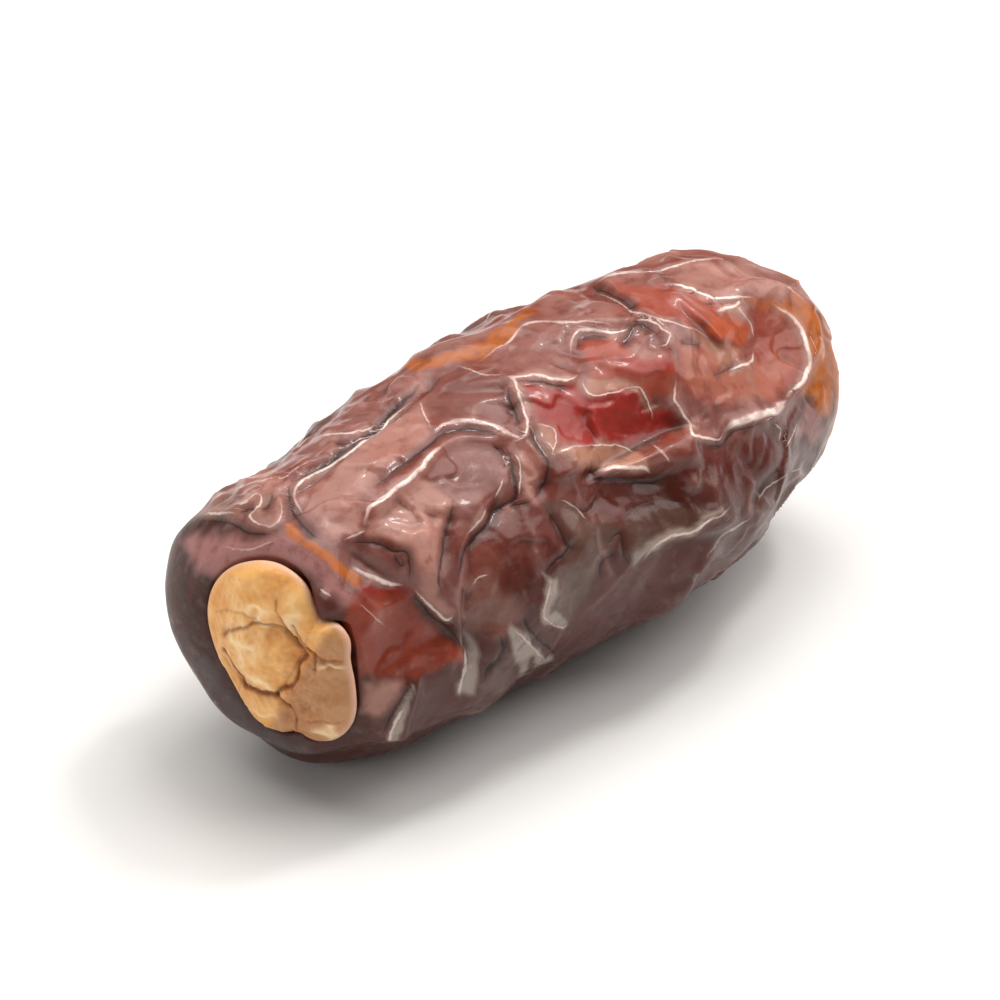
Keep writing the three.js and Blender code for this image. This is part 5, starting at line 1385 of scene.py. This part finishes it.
# Calyx: dry fibrous husk, tan and papery, with painted shade beside and in the creases
huskLook = {"light": "#f0bb72", "mid": "#db9646", "orange": "#b05a14", "grey": "#a3714e", "dark": "#6c320a",
            "edge": "#dcb09c", "shine": "#ffe3b2", "fibreMm": 0.35, "mottleMm": 2.0, "roughness": 0.32}
huskTints = [
    ("greyLobe", 0, 1, 0.75, "grey"),
    # Painted shade beside the face's lines
    ("shadow", 0.1, 1, 0.6, "orange"),
    # Painted highlights on the lobes
    ("shine", 0, 1, 0.75, "shine"),
    ("share", 0.96, 1, 0.65, "edge"),
    # Painted shade in the creases where the domes meet and along the face's lines
    ("crease", 0.15, 0.9, 0.85, "dark"),
]


def driedHusk():
    material, tree, shader = newMaterial("driedPaperyHusk")
    here = addNode(tree, "TexCoord", "Object", {})
    mottle = addNode(tree, "TexNoise", "Fac", {"Vector": here, "Scale": scaleFor(huskLook["mottleMm"]),
                                               "Detail": 5.0})
    fibre = addNode(tree, "TexNoise", "Fac", {"Vector": here, "Scale": scaleFor(huskLook["fibreMm"]),
                                              "Detail": 5.0, "Distortion": 1.0})
    amount = addNode(tree, "MapRange", "Result", {"Value": mottle, "From Min": 0.35, "From Max": 0.65})
    colour = addNode(tree, "Mix", 2, {"data_type": "RGBA", 0: amount, 6: huskLook["light"],
                                      7: huskLook["mid"]})
    amount = addNode(tree, "MapRange", "Result", {"Value": fibre, "From Min": 0.55, "From Max": 0.8,
                                                  "To Min": 0.0, "To Max": 0.18})
    colour = addNode(tree, "Mix", 2, {"data_type": "RGBA", 0: amount, 6: colour, 7: huskLook["dark"]})
    for key, low, high, most, tint in huskTints:
        marked = addNode(tree, "Attribute", "Fac", {"attribute_name": key})
        amount = addNode(tree, "MapRange", "Result", {"Value": marked, "From Min": low, "From Max": high,
                                                      "To Min": 0.0, "To Max": most})
        colour = addNode(tree, "Mix", 2, {"data_type": "RGBA", 0: amount, 6: colour, 7: huskLook[tint]})
    tree.links.new(shader.inputs["Base Color"], colour)
    polish = addNode(tree, "MapRange", "Result", {
        "Value": mottle, "From Min": 0.3, "From Max": 0.7,
        "To Min": huskLook["roughness"] - 0.06, "To Max": huskLook["roughness"] + 0.16})
    tree.links.new(shader.inputs["Roughness"], polish)
    bump = addNode(tree, "Bump", "Normal", {"Strength": 0.4, "Distance": 0.3 * mm, "Height": mottle})
    bump = addNode(tree, "Bump", "Normal", {"Strength": 0.4, "Distance": 0.08 * mm, "Height": fibre,
                                            "Normal": bump})
    tree.links.new(shader.inputs["Normal"], bump)
    shader.inputs["Subsurface Weight"].default_value = 0.15
    shader.inputs["Subsurface Radius"].default_value = (1.0, 0.6, 0.25)
    shader.inputs["Subsurface Scale"].default_value = 1 * mm
    return material


fruitPiece.data.materials.append(dateSkin())
calyxPiece.data.materials.append(driedHusk())
print("materials made")


# Floor, light and camera

studio = {
    "floorSize": 4.0, "floorColour": "#dfdfde", "world": 0.2, "worldColour": "#fffaf4",
    "lampColour": "#fffcf9",
    "lamps": [
        {"name": "softBoxRight", "place": (0.28, -0.08, 0.42), "size": 0.6, "watts": 3.2},
        {"name": "softBoxBehind", "place": (-0.02, 0.2, 0.45), "size": 0.5, "watts": 2.0},
        {"name": "softBoxSmall", "place": (0.26, -0.02, 0.44), "size": 0.08, "watts": 0.7},
        {"name": "softBoxLeft", "place": (-0.42, 0.03, 0.16), "size": 0.25, "watts": 0.4},
    ],
    "lens": 300, "distance": 0.49, "aim": (-0.001, 0.00097, 0.0099),
}


def plainMaterial(name, colour, roughness):
    material, tree, shader = newMaterial(name)
    shader.inputs["Base Color"].default_value = toLinear(colour)
    shader.inputs["Roughness"].default_value = roughness
    return material


side = studio["floorSize"] / 2
floorMesh = bpy.data.meshes.new("paleFloor")
corners = [(-side, -side, 0), (side, -side, 0), (side, side, 0), (-side, side, 0)]
floorMesh.from_pydata(corners, [], [(0, 1, 2, 3)])
floor = bpy.data.objects.new("paleFloor", floorMesh)
floor.data.materials.append(plainMaterial("paleStudioFloor", studio["floorColour"], 0.7))
bpy.context.scene.collection.objects.link(floor)

bpy.context.scene.view_settings.view_transform = "Standard"
world = bpy.data.worlds.new("studio")
bpy.context.scene.world = world
world.use_nodes = True
world.node_tree.nodes["Background"].inputs["Color"].default_value = toLinear(studio["worldColour"])
world.node_tree.nodes["Background"].inputs["Strength"].default_value = studio["world"]

for lamp in studio["lamps"]:
    light = bpy.data.lights.new(lamp["name"], "AREA")
    light.energy = lamp["watts"]
    light.size = lamp["size"]
    light.color = toLinear(studio["lampColour"])[:3]
    holder = bpy.data.objects.new(lamp["name"], light)
    holder.location = lamp["place"]
    holder.rotation_mode = "QUATERNION"
    aim = Vector(studio["aim"]) - Vector(lamp["place"])
    holder.rotation_quaternion = aim.to_track_quat("-Z", "Y")
    bpy.context.scene.collection.objects.link(holder)

back = Vector(viewBack)
cameraData = bpy.data.cameras.new("camera")
cameraData.lens = studio["lens"]
camera = bpy.data.objects.new("camera", cameraData)
camera.location = Vector(studio["aim"]) + back * studio["distance"]
camera.rotation_mode = "QUATERNION"
camera.rotation_quaternion = (-back).to_track_quat("-Z", "Y")
bpy.context.scene.collection.objects.link(camera)
bpy.context.scene.camera = camera
print("studio set")
